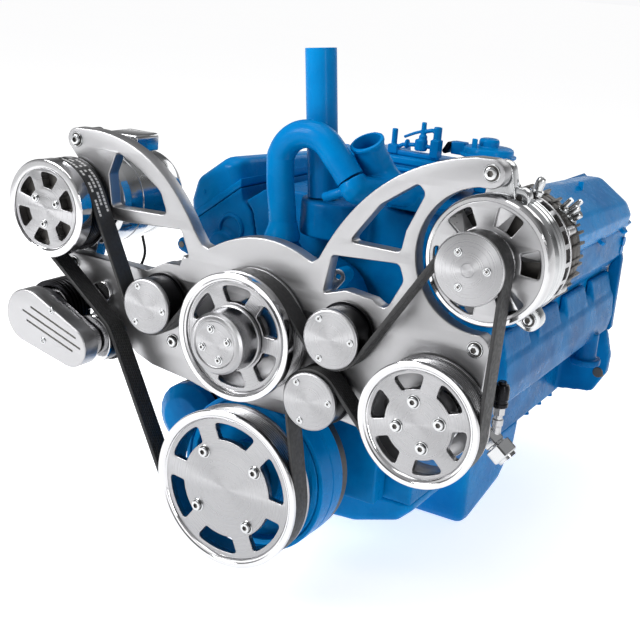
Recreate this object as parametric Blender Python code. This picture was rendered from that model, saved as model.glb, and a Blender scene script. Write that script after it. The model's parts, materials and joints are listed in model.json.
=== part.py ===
"""A V8 engine with a machined serpentine accessory drive on its front.

Frame: metres, +Z up. The origin is the centre of the flywheel flange, on the
crankshaft axis at the rear face of the block. The engine reaches forward along -Y,
and +X is to the right as seen from in front of the belt.
Sizes below are in millimetres, and y is measured back from the belt's centre plane.
"""

import math

import bmesh
import bpy
from mathutils import Matrix, Vector

MM = 0.001
BELT_TO_REAR = 790.0
GAP = 0.3

# Axes of the turning parts, as (x, z) from the crankshaft.
CRANK = (0.0, 0.0)
WATER_PUMP = (5.0, 199.0)
COMPRESSOR = (-282.0, 304.0)
ALTERNATOR = (283.0, 334.0)
STEERING = (245.0, 153.0)
IDLER_LEFT = (-130.0, 206.0)
IDLER_MIDDLE = (130.0, 224.0)
IDLER_LOWER = (109.0, 144.5)
TENSIONER = (-220.0, 142.0)
TENSIONER_PIVOT = (-292.0, 166.0)
CAMSHAFT = (0.0, 130.0)

# The belt, and the radius that it rides on at each pulley.
BELT_WIDTH = 28.0
BELT_THICKNESS = 4.5
CRANK_R = 95.5
WATER_PUMP_R = 71.0
COMPRESSOR_R = 56.0
ALTERNATOR_R = 33.0
STEERING_R = 66.0
IDLER_R = 33.0
TENSIONER_R = 31.0

# The bracket plate.
PLATE_FRONT = 22.0
PLATE_BACK = 41.0

# The block: its two banks lean 45 degrees each way.
BLOCK_FRONT = 200.0
CRANK_THROW = 43.0
COUNTERWEIGHT_OFFSET = 30.0
BLOCK_REAR = BELT_TO_REAR
DECK_DISTANCE = 240.0
DECK_HALF_WIDTH = 70.0
PAN_RAIL_Z = -60.0
PAN_RAIL_X = 150.0
MOUNT_PAD_X = 166.0
HEAD_FRONT = 212.0
BYPASS_Y = 154.0
HEAD_REAR = 738.0
HEAD_BOSS_FRONT = 203.0


def clear_scene():
    for item in list(bpy.data.objects):
        bpy.data.objects.remove(item, do_unlink=True)


def finish(name, colour, metallic, roughness):
    material = bpy.data.materials.new(name)
    material.use_nodes = True
    shader = material.node_tree.nodes["Principled BSDF"]
    shader.inputs["Base Color"].default_value = (*colour, 1.0)
    shader.inputs["Metallic"].default_value = metallic
    shader.inputs["Roughness"].default_value = roughness
    material.diffuse_color = (*colour, 1.0)
    return material


def from_bmesh(name, bm, axis, material):
    """Make an object whose origin lies on an axis, in the belt's centre plane."""
    bmesh.ops.recalc_face_normals(bm, faces=bm.faces)
    mesh = bpy.data.meshes.new(name)
    bm.to_mesh(mesh)
    bm.free()
    mesh.transform(Matrix.Scale(MM, 4))
    mesh.shade_smooth()
    mesh.set_sharp_from_angle(angle=math.radians(32))
    mesh.materials.append(material)
    item = bpy.data.objects.new(name, mesh)
    item.location = (axis[0] * MM, -BELT_TO_REAR * MM, axis[1] * MM)
    bpy.context.scene.collection.objects.link(item)
    return item


def turned(name, profile, axis, material, segments=24, turn=None, at=(0, 0, 0)):
    """Revolve a closed section of (radius, y) points about Y, or about a turned axis."""
    bm = bmesh.new()
    rings = []
    for radius, y in profile:
        if radius == 0:
            rings.append([bm.verts.new((0, y, 0))])
            continue
        angles = [2 * math.pi * (i + 0.5) / segments for i in range(segments)]
        rings.append([bm.verts.new((radius * math.cos(a), y, radius * math.sin(a))) for a in angles])
    for ring, following in zip(rings, rings[1:] + rings[:1]):
        if len(ring) == 1 and len(following) == 1:
            continue
        for i in range(segments):
            j = (i + 1) % segments
            corners = [
                ring[i % len(ring)],
                ring[j % len(ring)],
                following[j % len(following)],
                following[i % len(following)],
            ]
            bm.faces.new(list(dict.fromkeys(corners)))
    if turn is not None:
        bmesh.ops.transform(bm, matrix=turn, verts=bm.verts)
    bmesh.ops.translate(bm, vec=at, verts=bm.verts)
    return from_bmesh(name, bm, axis, material)


def facing(angle):
    """Turn a section from the Y axis to a direction in the XZ plane, in degrees from +X."""
    return Matrix.Rotation(math.radians(90 - angle), 4, "Y") @ Matrix.Rotation(math.radians(90), 4, "X")


def add_prism(bm, outline, y0, y1):
    front = [bm.verts.new((x, y0, z)) for x, z in outline]
    back = [bm.verts.new((x, y1, z)) for x, z in outline]
    bm.faces.new(front)
    bm.faces.new(back[::-1])
    for i in range(len(outline)):
        j = (i + 1) % len(outline)
        bm.faces.new((front[i], back[i], back[j], front[j]))


def prism(name, outline, y0, y1, material, axis=CRANK):
    """Extrude an (x, z) outline along Y."""
    bm = bmesh.new()
    add_prism(bm, outline, y0, y1)
    return from_bmesh(name, bm, axis, material)


def prisms(name, outlines, y0, y1, material, axis=CRANK):
    """Several separate extrusions in one object, for cutting."""
    bm = bmesh.new()
    for outline in outlines:
        add_prism(bm, outline, y0, y1)
    return from_bmesh(name, bm, axis, material)


def side_prism(name, outline, x0, x1, material):
    """Extrude a (y, z) outline along X."""
    bm = bmesh.new()
    near = [bm.verts.new((x0, y, z)) for y, z in outline]
    far = [bm.verts.new((x1, y, z)) for y, z in outline]
    bm.faces.new(near)
    bm.faces.new(far[::-1])
    for i in range(len(outline)):
        j = (i + 1) % len(outline)
        bm.faces.new((near[i], far[i], far[j], near[j]))
    return from_bmesh(name, bm, CRANK, material)


def box(name, low, high, material):
    outline = [(low[0], low[2]), (high[0], low[2]), (high[0], high[2]), (low[0], high[2])]
    return prism(name, outline, low[1], high[1], material)


def loft(name, front, back, y0, y1, material):
    """A solid between two (x, z) outlines with the same number of points."""
    bm = bmesh.new()
    near = [bm.verts.new((x, y0, z)) for x, z in front]
    far = [bm.verts.new((x, y1, z)) for x, z in back]
    bm.faces.new(near)
    bm.faces.new(far[::-1])
    for i in range(len(front)):
        j = (i + 1) % len(front)
        bm.faces.new((near[i], far[i], far[j], near[j]))
    return from_bmesh(name, bm, CRANK, material)


def swept(name, points, radius, material, sides=12):
    """A round bar along a smooth run of points, capped at both ends."""
    path = [Vector(p) for p in points]
    bm = bmesh.new()
    rings = []
    normal = Vector((0, 1, 0))
    for i, point in enumerate(path):
        tangent = (path[min(i + 1, len(path) - 1)] - path[max(i - 1, 0)]).normalized()
        normal = (normal - tangent * normal.dot(tangent)).normalized()
        binormal = tangent.cross(normal)
        angles = [2 * math.pi * (k + 0.5) / sides for k in range(sides)]
        ring = [point + radius * (math.cos(a) * normal + math.sin(a) * binormal) for a in angles]
        rings.append([bm.verts.new(p) for p in ring])
    for ring, following in zip(rings, rings[1:]):
        for i in range(sides):
            j = (i + 1) % sides
            bm.faces.new((ring[i], ring[j], following[j], following[i]))
    bm.faces.new(rings[0])
    bm.faces.new(rings[-1])
    return from_bmesh(name, bm, CRANK, material)


def boolean(target, operation, tool):
    modifier = target.modifiers.new(tool.name, "BOOLEAN")
    modifier.operation = operation
    modifier.object = tool
    modifier.solver = "EXACT"
    tool.hide_render = True
    tool.display_type = "WIRE"


def cut(target, *tools):
    for tool in tools:
        boolean(target, "DIFFERENCE", tool)


def unite(target, *tools):
    for tool in tools:
        boolean(target, "UNION", tool)


def bevel(item, width, segments=2, angle=35):
    modifier = item.modifiers.new("edge", "BEVEL")
    modifier.width = width * MM
    modifier.segments = segments
    modifier.limit_method = "ANGLE"
    modifier.angle_limit = math.radians(angle)


def arc(centre, radius, start, end, steps):
    """Points on a circle from one angle to another, in degrees."""
    points = []
    for i in range(steps + 1):
        a = math.radians(start + (end - start) * i / steps)
        points.append((centre[0] + radius * math.cos(a), centre[1] + radius * math.sin(a)))
    return points


def curve(start, control, end, steps):
    """A quadratic curve that leaves start and reaches end towards a control point."""
    points = []
    for i in range(steps + 1):
        t = i / steps
        a, b, c = (1 - t) ** 2, 2 * t * (1 - t), t * t
        points.append(tuple(a * p + b * q + c * r for p, q, r in zip(start, control, end)))
    return points


def circle(centre, radius, steps=20):
    return arc(centre, radius, 0, 360 * (steps - 1) / steps, steps - 1)


def capsule(start, start_radius, end, end_radius, steps=8):
    """The outline round two circles: a slot, a lever or a teardrop."""
    dx, dz = end[0] - start[0], end[1] - start[1]
    heading = math.degrees(math.atan2(dz, dx))
    lean = math.degrees(math.acos((start_radius - end_radius) / math.hypot(dx, dz)))
    return arc(start, start_radius, heading + lean, heading + 360 - lean, steps) + arc(
        end, end_radius, heading - lean, heading + lean, steps
    )


def rounded(corners, steps=3):
    """An outline from (x, z, radius) corners, each rounded to its own radius."""
    outline = []
    for i, (x, z, radius) in enumerate(corners):
        corner = Vector((x, z))
        before = Vector(corners[i - 1][:2]) - corner
        after = Vector(corners[(i + 1) % len(corners)][:2]) - corner
        if radius == 0:
            outline.append((x, z))
            continue
        before.normalize()
        after.normalize()
        half = before.angle(after) / 2
        reach = radius / math.tan(half)
        outline += curve(tuple(corner + before * reach), (x, z), tuple(corner + after * reach), steps)
    return outline


def ring_window(middle, half_angle, inner, outer, steps=3):
    """A curved slot between two radii about the origin, angles in degrees."""
    far = arc((0, 0), outer, middle - half_angle, middle + half_angle, steps)
    near = arc((0, 0), inner, middle + half_angle * 0.9, middle - half_angle * 0.9, steps)
    return far + near


def windowed(item, axis, count, first, half_angle, inner, outer, y0, y1, material):
    """Cut a ring of equal windows through a pulley's face."""
    outlines = [ring_window(first + 360 * i / count, half_angle, inner, outer) for i in range(count)]
    cut(item, prisms(item.name + "_windows", outlines, y0, y1, material, axis))


def mirrored(outline):
    return [(-x, z) for x, z in outline][::-1]


def belt_path():
    """The belt's middle line round all its pulleys, clockwise from in front."""
    half = BELT_THICKNESS / 2 + GAP
    stops = [
        (CRANK, CRANK_R, 1),
        (TENSIONER, TENSIONER_R, -1),
        (COMPRESSOR, COMPRESSOR_R, 1),
        (IDLER_LEFT, IDLER_R, -1),
        (WATER_PUMP, WATER_PUMP_R, 1),
        (IDLER_MIDDLE, IDLER_R, -1),
        (ALTERNATOR, ALTERNATOR_R, 1),
        (STEERING, STEERING_R, 1),
        (IDLER_LOWER, IDLER_R, -1),
    ]
    headings = []
    for here, there in zip(stops, stops[1:] + stops[:1]):
        dx, dz = there[0][0] - here[0][0], there[0][1] - here[0][1]
        offset = here[2] * (here[1] + half) - there[2] * (there[1] + half)
        headings.append(math.atan2(dz, dx) - math.asin(offset / math.hypot(dx, dz)))
    path = []
    for i, (centre, radius, sense) in enumerate(stops):
        start = headings[i - 1] + sense * math.pi / 2
        turn = (headings[i - 1] - headings[i]) * sense
        turn %= 2 * math.pi
        steps = max(2, round(math.degrees(turn) / 13))
        for k in range(steps + 1):
            angle = start - sense * turn * k / steps
            reach = (radius + half) / math.cos(turn / steps / 2)
            path.append((centre[0] + reach * math.cos(angle), centre[1] + reach * math.sin(angle)))
    return path


def build_belt(material):
    path = [Vector(p) for p in belt_path()]
    bm = bmesh.new()
    rings = []
    for i, point in enumerate(path):
        ahead = (path[(i + 1) % len(path)] - point).normalized()
        behind = (point - path[i - 1]).normalized()
        along = (ahead + behind).normalized()
        out = Vector((-along.y, along.x)) * BELT_THICKNESS / 2
        ring = []
        for side, y in ((1, -1), (1, 1), (-1, 1), (-1, -1)):
            corner = point + out * side
            ring.append(bm.verts.new((corner.x, y * BELT_WIDTH / 2, corner.y)))
        rings.append(ring)
    for ring, following in zip(rings, rings[1:] + rings[:1]):
        for i in range(4):
            j = (i + 1) % 4
            bm.faces.new((ring[i], ring[j], following[j], following[i]))
    return from_bmesh("serpentine_belt", bm, CRANK, material)


def bank_outline():
    """The block's half section on +X, from the valley round to the pan rail."""
    d, w = DECK_DISTANCE, DECK_HALF_WIDTH
    inner = ((d - w) * math.sqrt(0.5), (d + w) * math.sqrt(0.5))
    outer = ((d + w) * math.sqrt(0.5), (d - w) * math.sqrt(0.5))
    return [(70, 178), inner, outer, (196, 78), (152, 30), (PAN_RAIL_X, PAN_RAIL_Z)]


def build_block(blue):
    half = bank_outline()
    block = prism("engine_block", half + mirrored(half), BLOCK_FRONT, BLOCK_REAR, blue)
    flange_half = [(0, 205), (85, 190), (160, 128), (224, 66), (236, 24), (234, -6), (214, -44), (133, -56)]
    flange = prism("block_flange", flange_half + mirrored(flange_half[1:]), BLOCK_REAR - 18, BLOCK_REAR, blue)
    unite(block, flange)
    for side in (-1, 1):
        inner, outer = sorted((side * (PAN_RAIL_X - 10), side * MOUNT_PAD_X))
        pad = box("mount_pad%d" % side, (inner, 395, -25), (outer, 475, 25), blue)
        unite(block, pad)
    crankcase = turned("crankcase", [(0, 218), (92, 218), (92, 762), (0, 762)], CRANK, blue, 20)
    sump_mouth = box("sump_mouth", (-92, 218, -90), (92, 762, 0), blue)
    crank_tunnel = turned("crank_tunnel", [(0, 190), (37, 190), (37, 300), (0, 300)], CRANK, blue, 24)
    rear_seal_bore = turned("rear_seal_bore", [(0, 700), (48, 700), (48, 800), (0, 800)], CRANK, blue, 24)
    cam_tunnel = turned("cam_tunnel", [(0, 190), (26, 190), (26, 740), (0, 740)], CAMSHAFT, blue, 20)
    cut(block, crankcase, sump_mouth, crank_tunnel, rear_seal_bore, cam_tunnel)
    return block


def head_outline():
    """The right head's section: deck, exhaust side, cover rail and intake side."""
    d, w = DECK_DISTANCE + GAP, DECK_HALF_WIDTH
    inner = ((d - w) * math.sqrt(0.5), (d + w) * math.sqrt(0.5))
    outer = ((d + w) * math.sqrt(0.5), (d - w) * math.sqrt(0.5))
    return [inner, outer, (222, 135), (222, 190), (240, 214), (240, 258), (156, 322), (152, 304), (137, 288)]


def cover_section(lower, inset):
    """The right valve cover's section. lower drops its crown, inset thins it for the hollow."""
    i = inset
    return [
        (241 - i, 258.4 - i),
        (247 - i, 266),
        (249 - i, 288 - lower * 0.3),
        (239 - i, 321 - lower * 0.9),
        (192 - i * 0.6, 357 - lower - i),
        (176 + i * 0.6, 359 - lower - i),
        (162 + i, 349 - lower),
        (157 + i, 322.4 + i * 0.2),
    ]


def build_head(side, blue):
    outline = head_outline()
    label = "right" if side > 0 else "left"
    if side < 0:
        outline = mirrored(outline)
    head = prism("cylinder_head_" + label, outline, HEAD_FRONT, HEAD_REAR, blue)
    boss_section = [(0, HEAD_BOSS_FRONT), (24, HEAD_BOSS_FRONT), (24, 220), (0, 220)]
    boss = turned("head_boss_" + label, boss_section, (side * 180, 232), blue, 16)
    lug_outline = capsule((side * 232, 222), 15, (side * 252, 223), 11)
    lug = prism("head_lug_" + label, lug_outline, HEAD_FRONT, 238, blue)
    unite(head, boss, lug)
    return head


def build_valve_cover(side, blue):
    label = "right" if side > 0 else "left"
    sections = []
    for lower, inset in ((0, 0), (26, 0), (0, 5), (26, 5)):
        section = cover_section(lower, inset)
        if inset:
            section[0] = (section[0][0], section[0][1] - 8)
            section[-1] = (section[-1][0], section[-1][1] - 8)
        sections.append(section if side > 0 else mirrored(section))
    cover = loft("valve_cover_" + label, sections[0], sections[1], HEAD_FRONT + 3, HEAD_REAR - 3, blue)
    bevel(cover, 11, 2, 20)
    hollow = loft("cover_hollow_" + label, sections[2], sections[3], HEAD_FRONT + 12, HEAD_REAR - 12, blue)
    cut(cover, hollow)
    return cover


def build_exhaust_manifold(side, blue):
    label = "right" if side > 0 else "left"
    log = rounded([
        (222.4, 82, 0), (240, 88, 9), (245, 116, 14), (242, 148, 14), (232, 166, 9), (222.4, 170, 0),
    ])
    manifold = prism("exhaust_manifold_" + label, log if side > 0 else mirrored(log), 250, 715, blue)
    for number in range(4):
        y = 254 + 122 * number
        port = rounded([(222.4, 120, 0), (238, 120, 4), (238, 158, 12), (230, 187, 7), (222.4, 188, 0)])
        flange = prism("port%d_%s" % (number, label), port if side > 0 else mirrored(port), y, y + 90, blue)
        unite(manifold, flange)
    outlet = turned("outlet_" + label, [(0, 56), (17, 56), (17, 100), (0, 100)], CRANK, blue, 16,
                    Matrix.Rotation(math.radians(90), 4, "X"), (side * 232, 640, 0))
    plate = turned("outlet_plate_" + label, [(0, 48), (25, 48), (25, 58), (0, 58)], CRANK, blue, 16,
                   Matrix.Rotation(math.radians(90), 4, "X"), (side * 232, 640, 0))
    unite(manifold, outlet, plate)
    return manifold


def build_intake(blue):
    half = [(70, 178.5), (119.6, 218.9), (136.6, 290), (149, 304.5), (120, 324), (70, 330)]
    manifold = prism("intake_manifold", half + mirrored(half), 214, 506, blue)
    low_half = [(70, 178.5), (119.6, 218.9), (134.9, 283), (112, 290), (70, 293)]
    rear_end = prism("intake_rear", low_half + mirrored(low_half), 490, 740, blue)
    front_housing = turned("front_housing", [(0, 284), (48, 284), (48, 331), (0, 331)], CRANK, blue, 24,
                           Matrix.Rotation(math.radians(90), 4, "X"), (-3, 212, 0))
    valve_boss = turned("valve_boss", [(0, 300), (18, 300), (18, 338), (0, 338)], CRANK, blue, 16,
                        Matrix.Rotation(math.radians(90), 4, "X"), (127, 396, 0))
    unite(manifold, rear_end, front_housing, valve_boss)
    return manifold


def build_plenum(blue):
    plenum = box("finned_plenum", (-92, 352, 330.4), (92, 430, 374), blue)
    grooves = [
        [(-93, z), (93, z), (93, z + 5), (-93, z + 5)] for z in (341, 351, 361)
    ]
    cut(plenum, prisms("plenum_grooves", grooves, 345, 360, blue))
    return plenum


def build_oil_pan(blue):
    nose_half = [(150, -30), (150, -72), (130, -92), (66, -113), (0, -118)]
    nose_room = [(134, -30), (134, -70), (120, -86), (62, -105), (0, -109)]
    tail_half = [(150, -30), (150, -64), (112, -82), (60, -98), (0, -102)]
    tail_room = [(134, -30), (134, -58), (104, -75), (56, -89), (0, -92)]
    sump_side = [
        (396, -30), (396, -160), (408, -172), (428, -174), (545, -150), (600, -108), (608, -70), (608, -30),
    ]
    sump_room = [
        (405, -30), (405, -155), (413, -163), (428, -165), (541, -141), (591, -103), (599, -68), (599, -30),
    ]
    pan = side_prism("oil_pan", sump_side, -PAN_RAIL_X, PAN_RAIL_X, blue)
    bevel(pan, 12, 2, 40)
    nose = prism("pan_nose", nose_half + mirrored(nose_half[:-1]), 203, 420, blue)
    tail = prism("pan_tail", tail_half + mirrored(tail_half[:-1]), 580, 784, blue)
    bevel(nose, 10, 2, 50)
    bevel(tail, 6, 2, 50)
    unite(pan, nose, tail)
    cut(
        pan,
        prism("nose_room", nose_room + mirrored(nose_room[:-1]), 212, 430, blue),
        side_prism("sump_room", sump_room, -134, 134, blue),
        prism("tail_room", tail_room + mirrored(tail_room[:-1]), 570, 776, blue),
        box("pan_rail_level", (-200, 190, PAN_RAIL_Z - GAP), (200, 800, 10), blue),
    )
    return pan


def build_timing_cover(blue):
    half = [(0, 134), (50, 134), (66, 124), (88, 90), (112, 20), (112, -58)]
    cover = prism("timing_cover", half + mirrored(half[1:]), 168, BLOCK_FRONT - GAP, blue)
    nose = turned("timing_nose", [(0, 150), (46, 150), (54, 170), (0, 170)], CRANK, blue, 24)
    unite(cover, nose)
    cut(cover, turned("front_seal_bore", [(0, 140), (31, 140), (31, 210), (0, 210)], CRANK, blue, 24))
    return cover


def build_fuel_pump(blue):
    centre = (-172, 4)
    arm = prism("fuel_pump", capsule((-90, 4), 20, (-150, 4), 30), 145, 167, blue)
    bowl = [(0, 118), (30, 118), (47, 132), (47, 176), (36, 188), (0, 188)]
    body = turned("fuel_pump_body", bowl, centre, blue, 20)
    unite(arm, body)
    waist = turned("fuel_pump_waist", [(43, 148), (60, 148), (60, 153), (43, 153)], centre, blue, 20)
    cut(arm, waist)
    return arm


def build_filler_tube(blue):
    lean = Matrix.Rotation(math.radians(-6), 4, "Y") @ Matrix.Rotation(math.radians(90), 4, "X")
    section = [(17.8, 0), (20.2, 0), (20.2, 188), (17.8, 188)]
    tube = turned("oil_filler_tube", section, CRANK, blue, 24, lean, (-18, 199, 333.5))
    return tube


def bypass_route():
    up = [(-47, BYPASS_Y, 283), (-52, BYPASS_Y, 320), (-57, BYPASS_Y, 352)]
    bend = [(x, BYPASS_Y, z) for x, z in arc((-17, 376), 42, 180, 43, 7)]
    down = [(33, BYPASS_Y, 385), (45, BYPASS_Y, 371)]
    return up + bend + down


def build_bypass_pipe(blue):
    pipe = swept("bypass_pipe", bypass_route(), 18, blue, 14)
    return pipe


def build_thermostat_housing(blue):
    route = [(49, 180, 416), (62, 187.5, 397), (75, 195, 378), (83, 201, 362), (88, 205, 348)]
    housing = swept("thermostat_housing", route, 21, blue, 14)
    foot = box("thermostat_foot", (66, 216, 331), (120, 262, 352), blue)
    elbow = swept("thermostat_elbow", [(80, 202, 358), (90, 214, 357), (94, 236, 356)], 20, blue, 12)
    receiver_route = [
        (45.6, BYPASS_Y, 370.2), (49.3, BYPASS_Y, 365.5), (54.3, BYPASS_Y, 359),
        (68, 180, 356), (80, 200, 356),
    ]
    receiver = swept("bypass_receiver", receiver_route, 18, blue, 12)
    unite(housing, elbow, foot, receiver)
    bore = [(43.5, 176.8, 424), (62, 187.5, 397), (72, 193.3, 382.4)]
    cut(housing, swept("thermostat_bore", bore, 17.5, blue, 14))
    return housing


def build_fitting_tree(blue):
    tree = box("fitting_tree", (-18, 369, 374.4), (62, 379, 383), blue)
    parts = [
        box("tree_post", (-14, 370, 382), (-6, 378, 410), blue),
        box("tree_middle", (22, 367, 382), (41, 381, 403), blue),
        box("tree_stem", (30, 370, 402), (37, 377, 424), blue),
        box("tree_tall", (48, 366, 382), (62, 382, 402), blue),
        box("tree_top", (50, 369, 401), (61, 380, 420), blue),
        swept("tree_branch", [(34, 374, 414), (20, 374, 411), (8, 374, 405)], 2.5, blue, 8),
    ]
    unite(tree, *parts)
    return tree


def build_recirculation_valve(blue):
    section = [
        (0, 338.4), (14, 338.4), (14, 374), (30, 377), (30, 386), (39, 387), (39, 390), (35, 391),
        (35, 397), (32, 400), (14, 400), (14, 409), (11, 412), (0, 412),
    ]
    return turned("recirculation_valve", section, CRANK, blue, 20, facing(90), (124, 396, 0))


def build_water_pump_housing(blue):
    section = [(0, 62), (30, 62), (34, 96), (58, 124), (60, 199.7), (0, 199.7)]
    housing = turned("water_pump_housing", section, WATER_PUMP, blue, 24)
    left_leg = prism("pump_leg_left", capsule((-20, -10), 26, (-100, -20), 20), 172, 199.7, blue, WATER_PUMP)
    right_leg = prism("pump_leg_right", capsule((20, -10), 26, (96, -20), 20), 172, 199.7, blue, WATER_PUMP)
    spare_lug = prism("pump_spare_lug", capsule((28, 30), 14, (52, 56), 10), 122, 146, blue, WATER_PUMP)
    riser = prism("pump_riser", capsule((-20, 20), 24, (-54, 60), 22), 134, 174, blue, WATER_PUMP)
    unite(housing, left_leg, right_leg, riser, spare_lug)
    shaft_bore = turned("pump_shaft_bore", [(0, 50), (15, 50), (15, 170), (0, 170)], WATER_PUMP, blue, 20)
    room_section = [(0, 158), (46, 158), (46, 210), (0, 210)]
    impeller_room = turned("impeller_room", room_section, WATER_PUMP, blue, 24)
    cut(housing, shaft_bore, impeller_room)
    return housing


def plate_outline():
    """The bracket plate's outer edge, anticlockwise from the upper left ear."""
    left_ear = arc((-282, 386), 15, 90, 215, 4)
    inner_left = rounded([(-250, 330, 4), (-242, 293, 3), (-200, 293, 0), (-112, 299, 5), (-96, 262, 5)])
    idler_lobe = [(-112, 254), (-134, 253), (-162, 238)]
    lower_ear = arc((-285, 224), 15, 75, 245, 5)
    bottom_left = [(-176, 124), (-150, 115), (-88, 108), (-57, 101), (52, 101)]
    lower_lobe = arc(IDLER_LOWER, 31, 245, 290, 3)
    steering_lobe = arc(STEERING, 52, 245, 360, 7)
    right_ear = arc((285, 239), 17, -30, 80, 4)
    alternator_arc = arc(ALTERNATOR, 79, 270, 100, 14)
    upper_ear = arc((279, 427), 15.5, -80, 100, 6)
    right_arm = curve((262, 442), (146, 424), (89, 311), 8)
    hump = [(84, 301), (76, 295)] + curve((68, 297), (4, 327), (-62, 288), 6) + [(-70, 283), (-80, 286)]
    left_arm = curve((-92, 302), (-150, 397), (-250, 402), 8)
    return (left_ear + inner_left + idler_lobe + lower_ear + bottom_left + lower_lobe + steering_lobe
            + right_ear + alternator_arc + upper_ear + right_arm + hump + left_arm)


def plate_windows():
    left = rounded([
        (-222, 309, 6), (-134, 313, 6), (-146, 341, 20), (-178, 362, 0), (-216, 380, 8), (-228, 350, 10),
    ])
    upper_right = rounded([
        (121, 327, 5), (186, 327, 8), (190, 352, 0), (209, 396, 8), (199, 405, 6), (156, 375, 20),
    ])
    lower_right = rounded([
        (101, 308, 6), (186, 314, 8), (193, 296, 10), (174, 257, 12),
        (157, 267, 0), (122, 271, 10), (93, 261, 4),
    ])
    return [left, upper_right, lower_right]


def build_plate(satin):
    plate = prism("bracket_plate", plate_outline(), PLATE_FRONT, PLATE_BACK, satin)
    cut(plate, prisms("plate_windows", plate_windows(), 0, 60, satin))
    bores = [circle(WATER_PUMP, 36, 24), circle(STEERING, 34, 24)]
    cut(plate, prisms("plate_bores", bores, 0, 60, satin))
    return plate


def build_standoff(name, place, back, satin):
    section = [(0, PLATE_BACK + GAP), (11, PLATE_BACK + GAP), (11, back - GAP), (0, back - GAP)]
    return turned(name, section, place, satin, 16)


def ribbed_pulley(name, axis, rim, groove, front, back, satin, hub, hub_back, face_inset=4, segments=26):
    """A one-piece pulley: a dished face, a stepped rim and a drum under the belt."""
    shell = groove - 8
    face = front + face_inset
    section = [
        (0, face + 1), (rim - 11, face), (rim - 7, front), (rim, front),
        (rim, -BELT_WIDTH / 2 - 0.8), (groove, -BELT_WIDTH / 2 - 0.8),
        (groove, BELT_WIDTH / 2 + 0.8), (groove + 4, BELT_WIDTH / 2 + 0.8), (groove + 4, back),
        (shell, back), (shell, face + 9), (hub, face + 9), (hub, hub_back), (0, hub_back),
    ]
    return turned(name, section, axis, satin, segments)


def build_crank_parts(satin, steel, blue):
    pulley = ribbed_pulley("crank_pulley", CRANK, 101.7, CRANK_R, -20, 19, satin, 34, 36)
    windowed(pulley, CRANK, 6, 24, 21, 64, 84, -25, 5, satin)
    damper_section = [
        (26, 36.3), (44, 36.3), (44, 58), (88, 58), (88, 42),
        (104, 42), (104, 105), (88, 105), (88, 84), (26, 84),
    ]
    turned("harmonic_damper", damper_section, CRANK, blue, 26)
    shaft_section = [
        (0, 37), (25.7, 37), (25.7, 200), (34, 200), (34, 225),
        (28, 225), (28, 755), (40, 755), (40, BLOCK_REAR), (0, BLOCK_REAR),
    ]
    shaft = turned("crankshaft", shaft_section, CRANK, steel, 18)
    throws = []
    for number, angle in enumerate((0, 90, 270, 180)):
        middle = 285 + 133 * number
        across, up = math.cos(math.radians(angle)), math.sin(math.radians(angle))
        pin = (CRANK_THROW * across, CRANK_THROW * up)
        counter = (-COUNTERWEIGHT_OFFSET * across, -COUNTERWEIGHT_OFFSET * up)
        for side in (-1, 1):
            web = capsule(counter, 52, pin, 30, 4)
            y = middle + side * 32
            throws.append(prism("web%d%d" % (number, side), web, y - 9, y + 9, steel))
        journal = [(0, middle - 30), (26, middle - 30), (26, middle + 30), (0, middle + 30)]
        throws.append(turned("pin%d" % number, journal, pin, steel, 12))
    unite(shaft, *throws)


def build_camshaft(steel):
    section = [(0, 202), (20, 202), (20, 222)]
    for number in range(4):
        y = 250 + 122 * number
        section += [(14, y - 28), (14, y), (20, y), (20, y + 20), (14, y + 20)]
    section += [(14, 716), (24, 716), (24, 736), (0, 736)]
    turned("camshaft", section, CAMSHAFT, steel, 12)


def build_water_pump_parts(satin, steel):
    pulley = ribbed_pulley("water_pump_pulley", WATER_PUMP, 77.3, WATER_PUMP_R, -28, 19, satin, 30, 22)
    windowed(pulley, WATER_PUMP, 6, 30, 20, 42, 60, -35, 0, satin)
    cap = [(0, -62), (10, -62), (34, -58), (37, -54), (37, -24.4), (0, -24.4)]
    turned("water_pump_cap", cap, WATER_PUMP, satin, 28)
    shaft = [(0, 22.3), (24, 22.3), (24, 34), (12, 34), (12, 164), (42, 164), (42, 188), (0, 188)]
    turned("water_pump_shaft", shaft, WATER_PUMP, steel, 20)


def build_compressor_parts(satin, chrome, black, rubber):
    face_section = [
        (0, -31), (50, -32), (54, -35), (61.9, -35), (61.9, -15.6), (0, -15.6),
    ]
    face = turned("compressor_clutch_face", face_section, COMPRESSOR, satin, 26)
    windowed(face, COMPRESSOR, 6, 22, 19, 27, 46, -40, -10, satin)
    drum_section = [
        (20, -15.3), (60, -15.3), (60, -14.6), (COMPRESSOR_R, -14.6),
        (COMPRESSOR_R, 14.6), (60, 14.6), (60, 19), (20, 19),
    ]
    turned("compressor_clutch_pulley", drum_section, COMPRESSOR, black, 24)
    body_section = [
        (0, -12), (19.5, -12), (19.5, 19.5), (34, 19.5), (34, 44), (58, 50),
        (60, 62), (60, 108), (57, 112), (57, 168), (50, 180), (0, 180),
    ]
    body = turned("compressor_body", body_section, COMPRESSOR, chrome, 24)
    lug = prism("compressor_lug", capsule((-282, 340), 20, (-282, 386), 13), 46, 66, chrome)
    low_lug = prism("compressor_low_lug", capsule((-282, 268), 20, (-285, 224), 13), 46, 66, chrome)
    unite(body, lug, low_lug)
    block = box("compressor_port_block", (-306, 104, 364.4), (-257, 150, 388), chrome)
    bevel(block, 4, 1)
    wire = [
        (-222, 84, 262), (-214, 80, 240), (-216, 70, 220), (-226, 58, 212),
        (-238, 50, 218), (-244, 46, 232), (-242, 46, 248),
    ]
    swept("compressor_coil_lead", wire, 1.8, rubber, 6)


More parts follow.
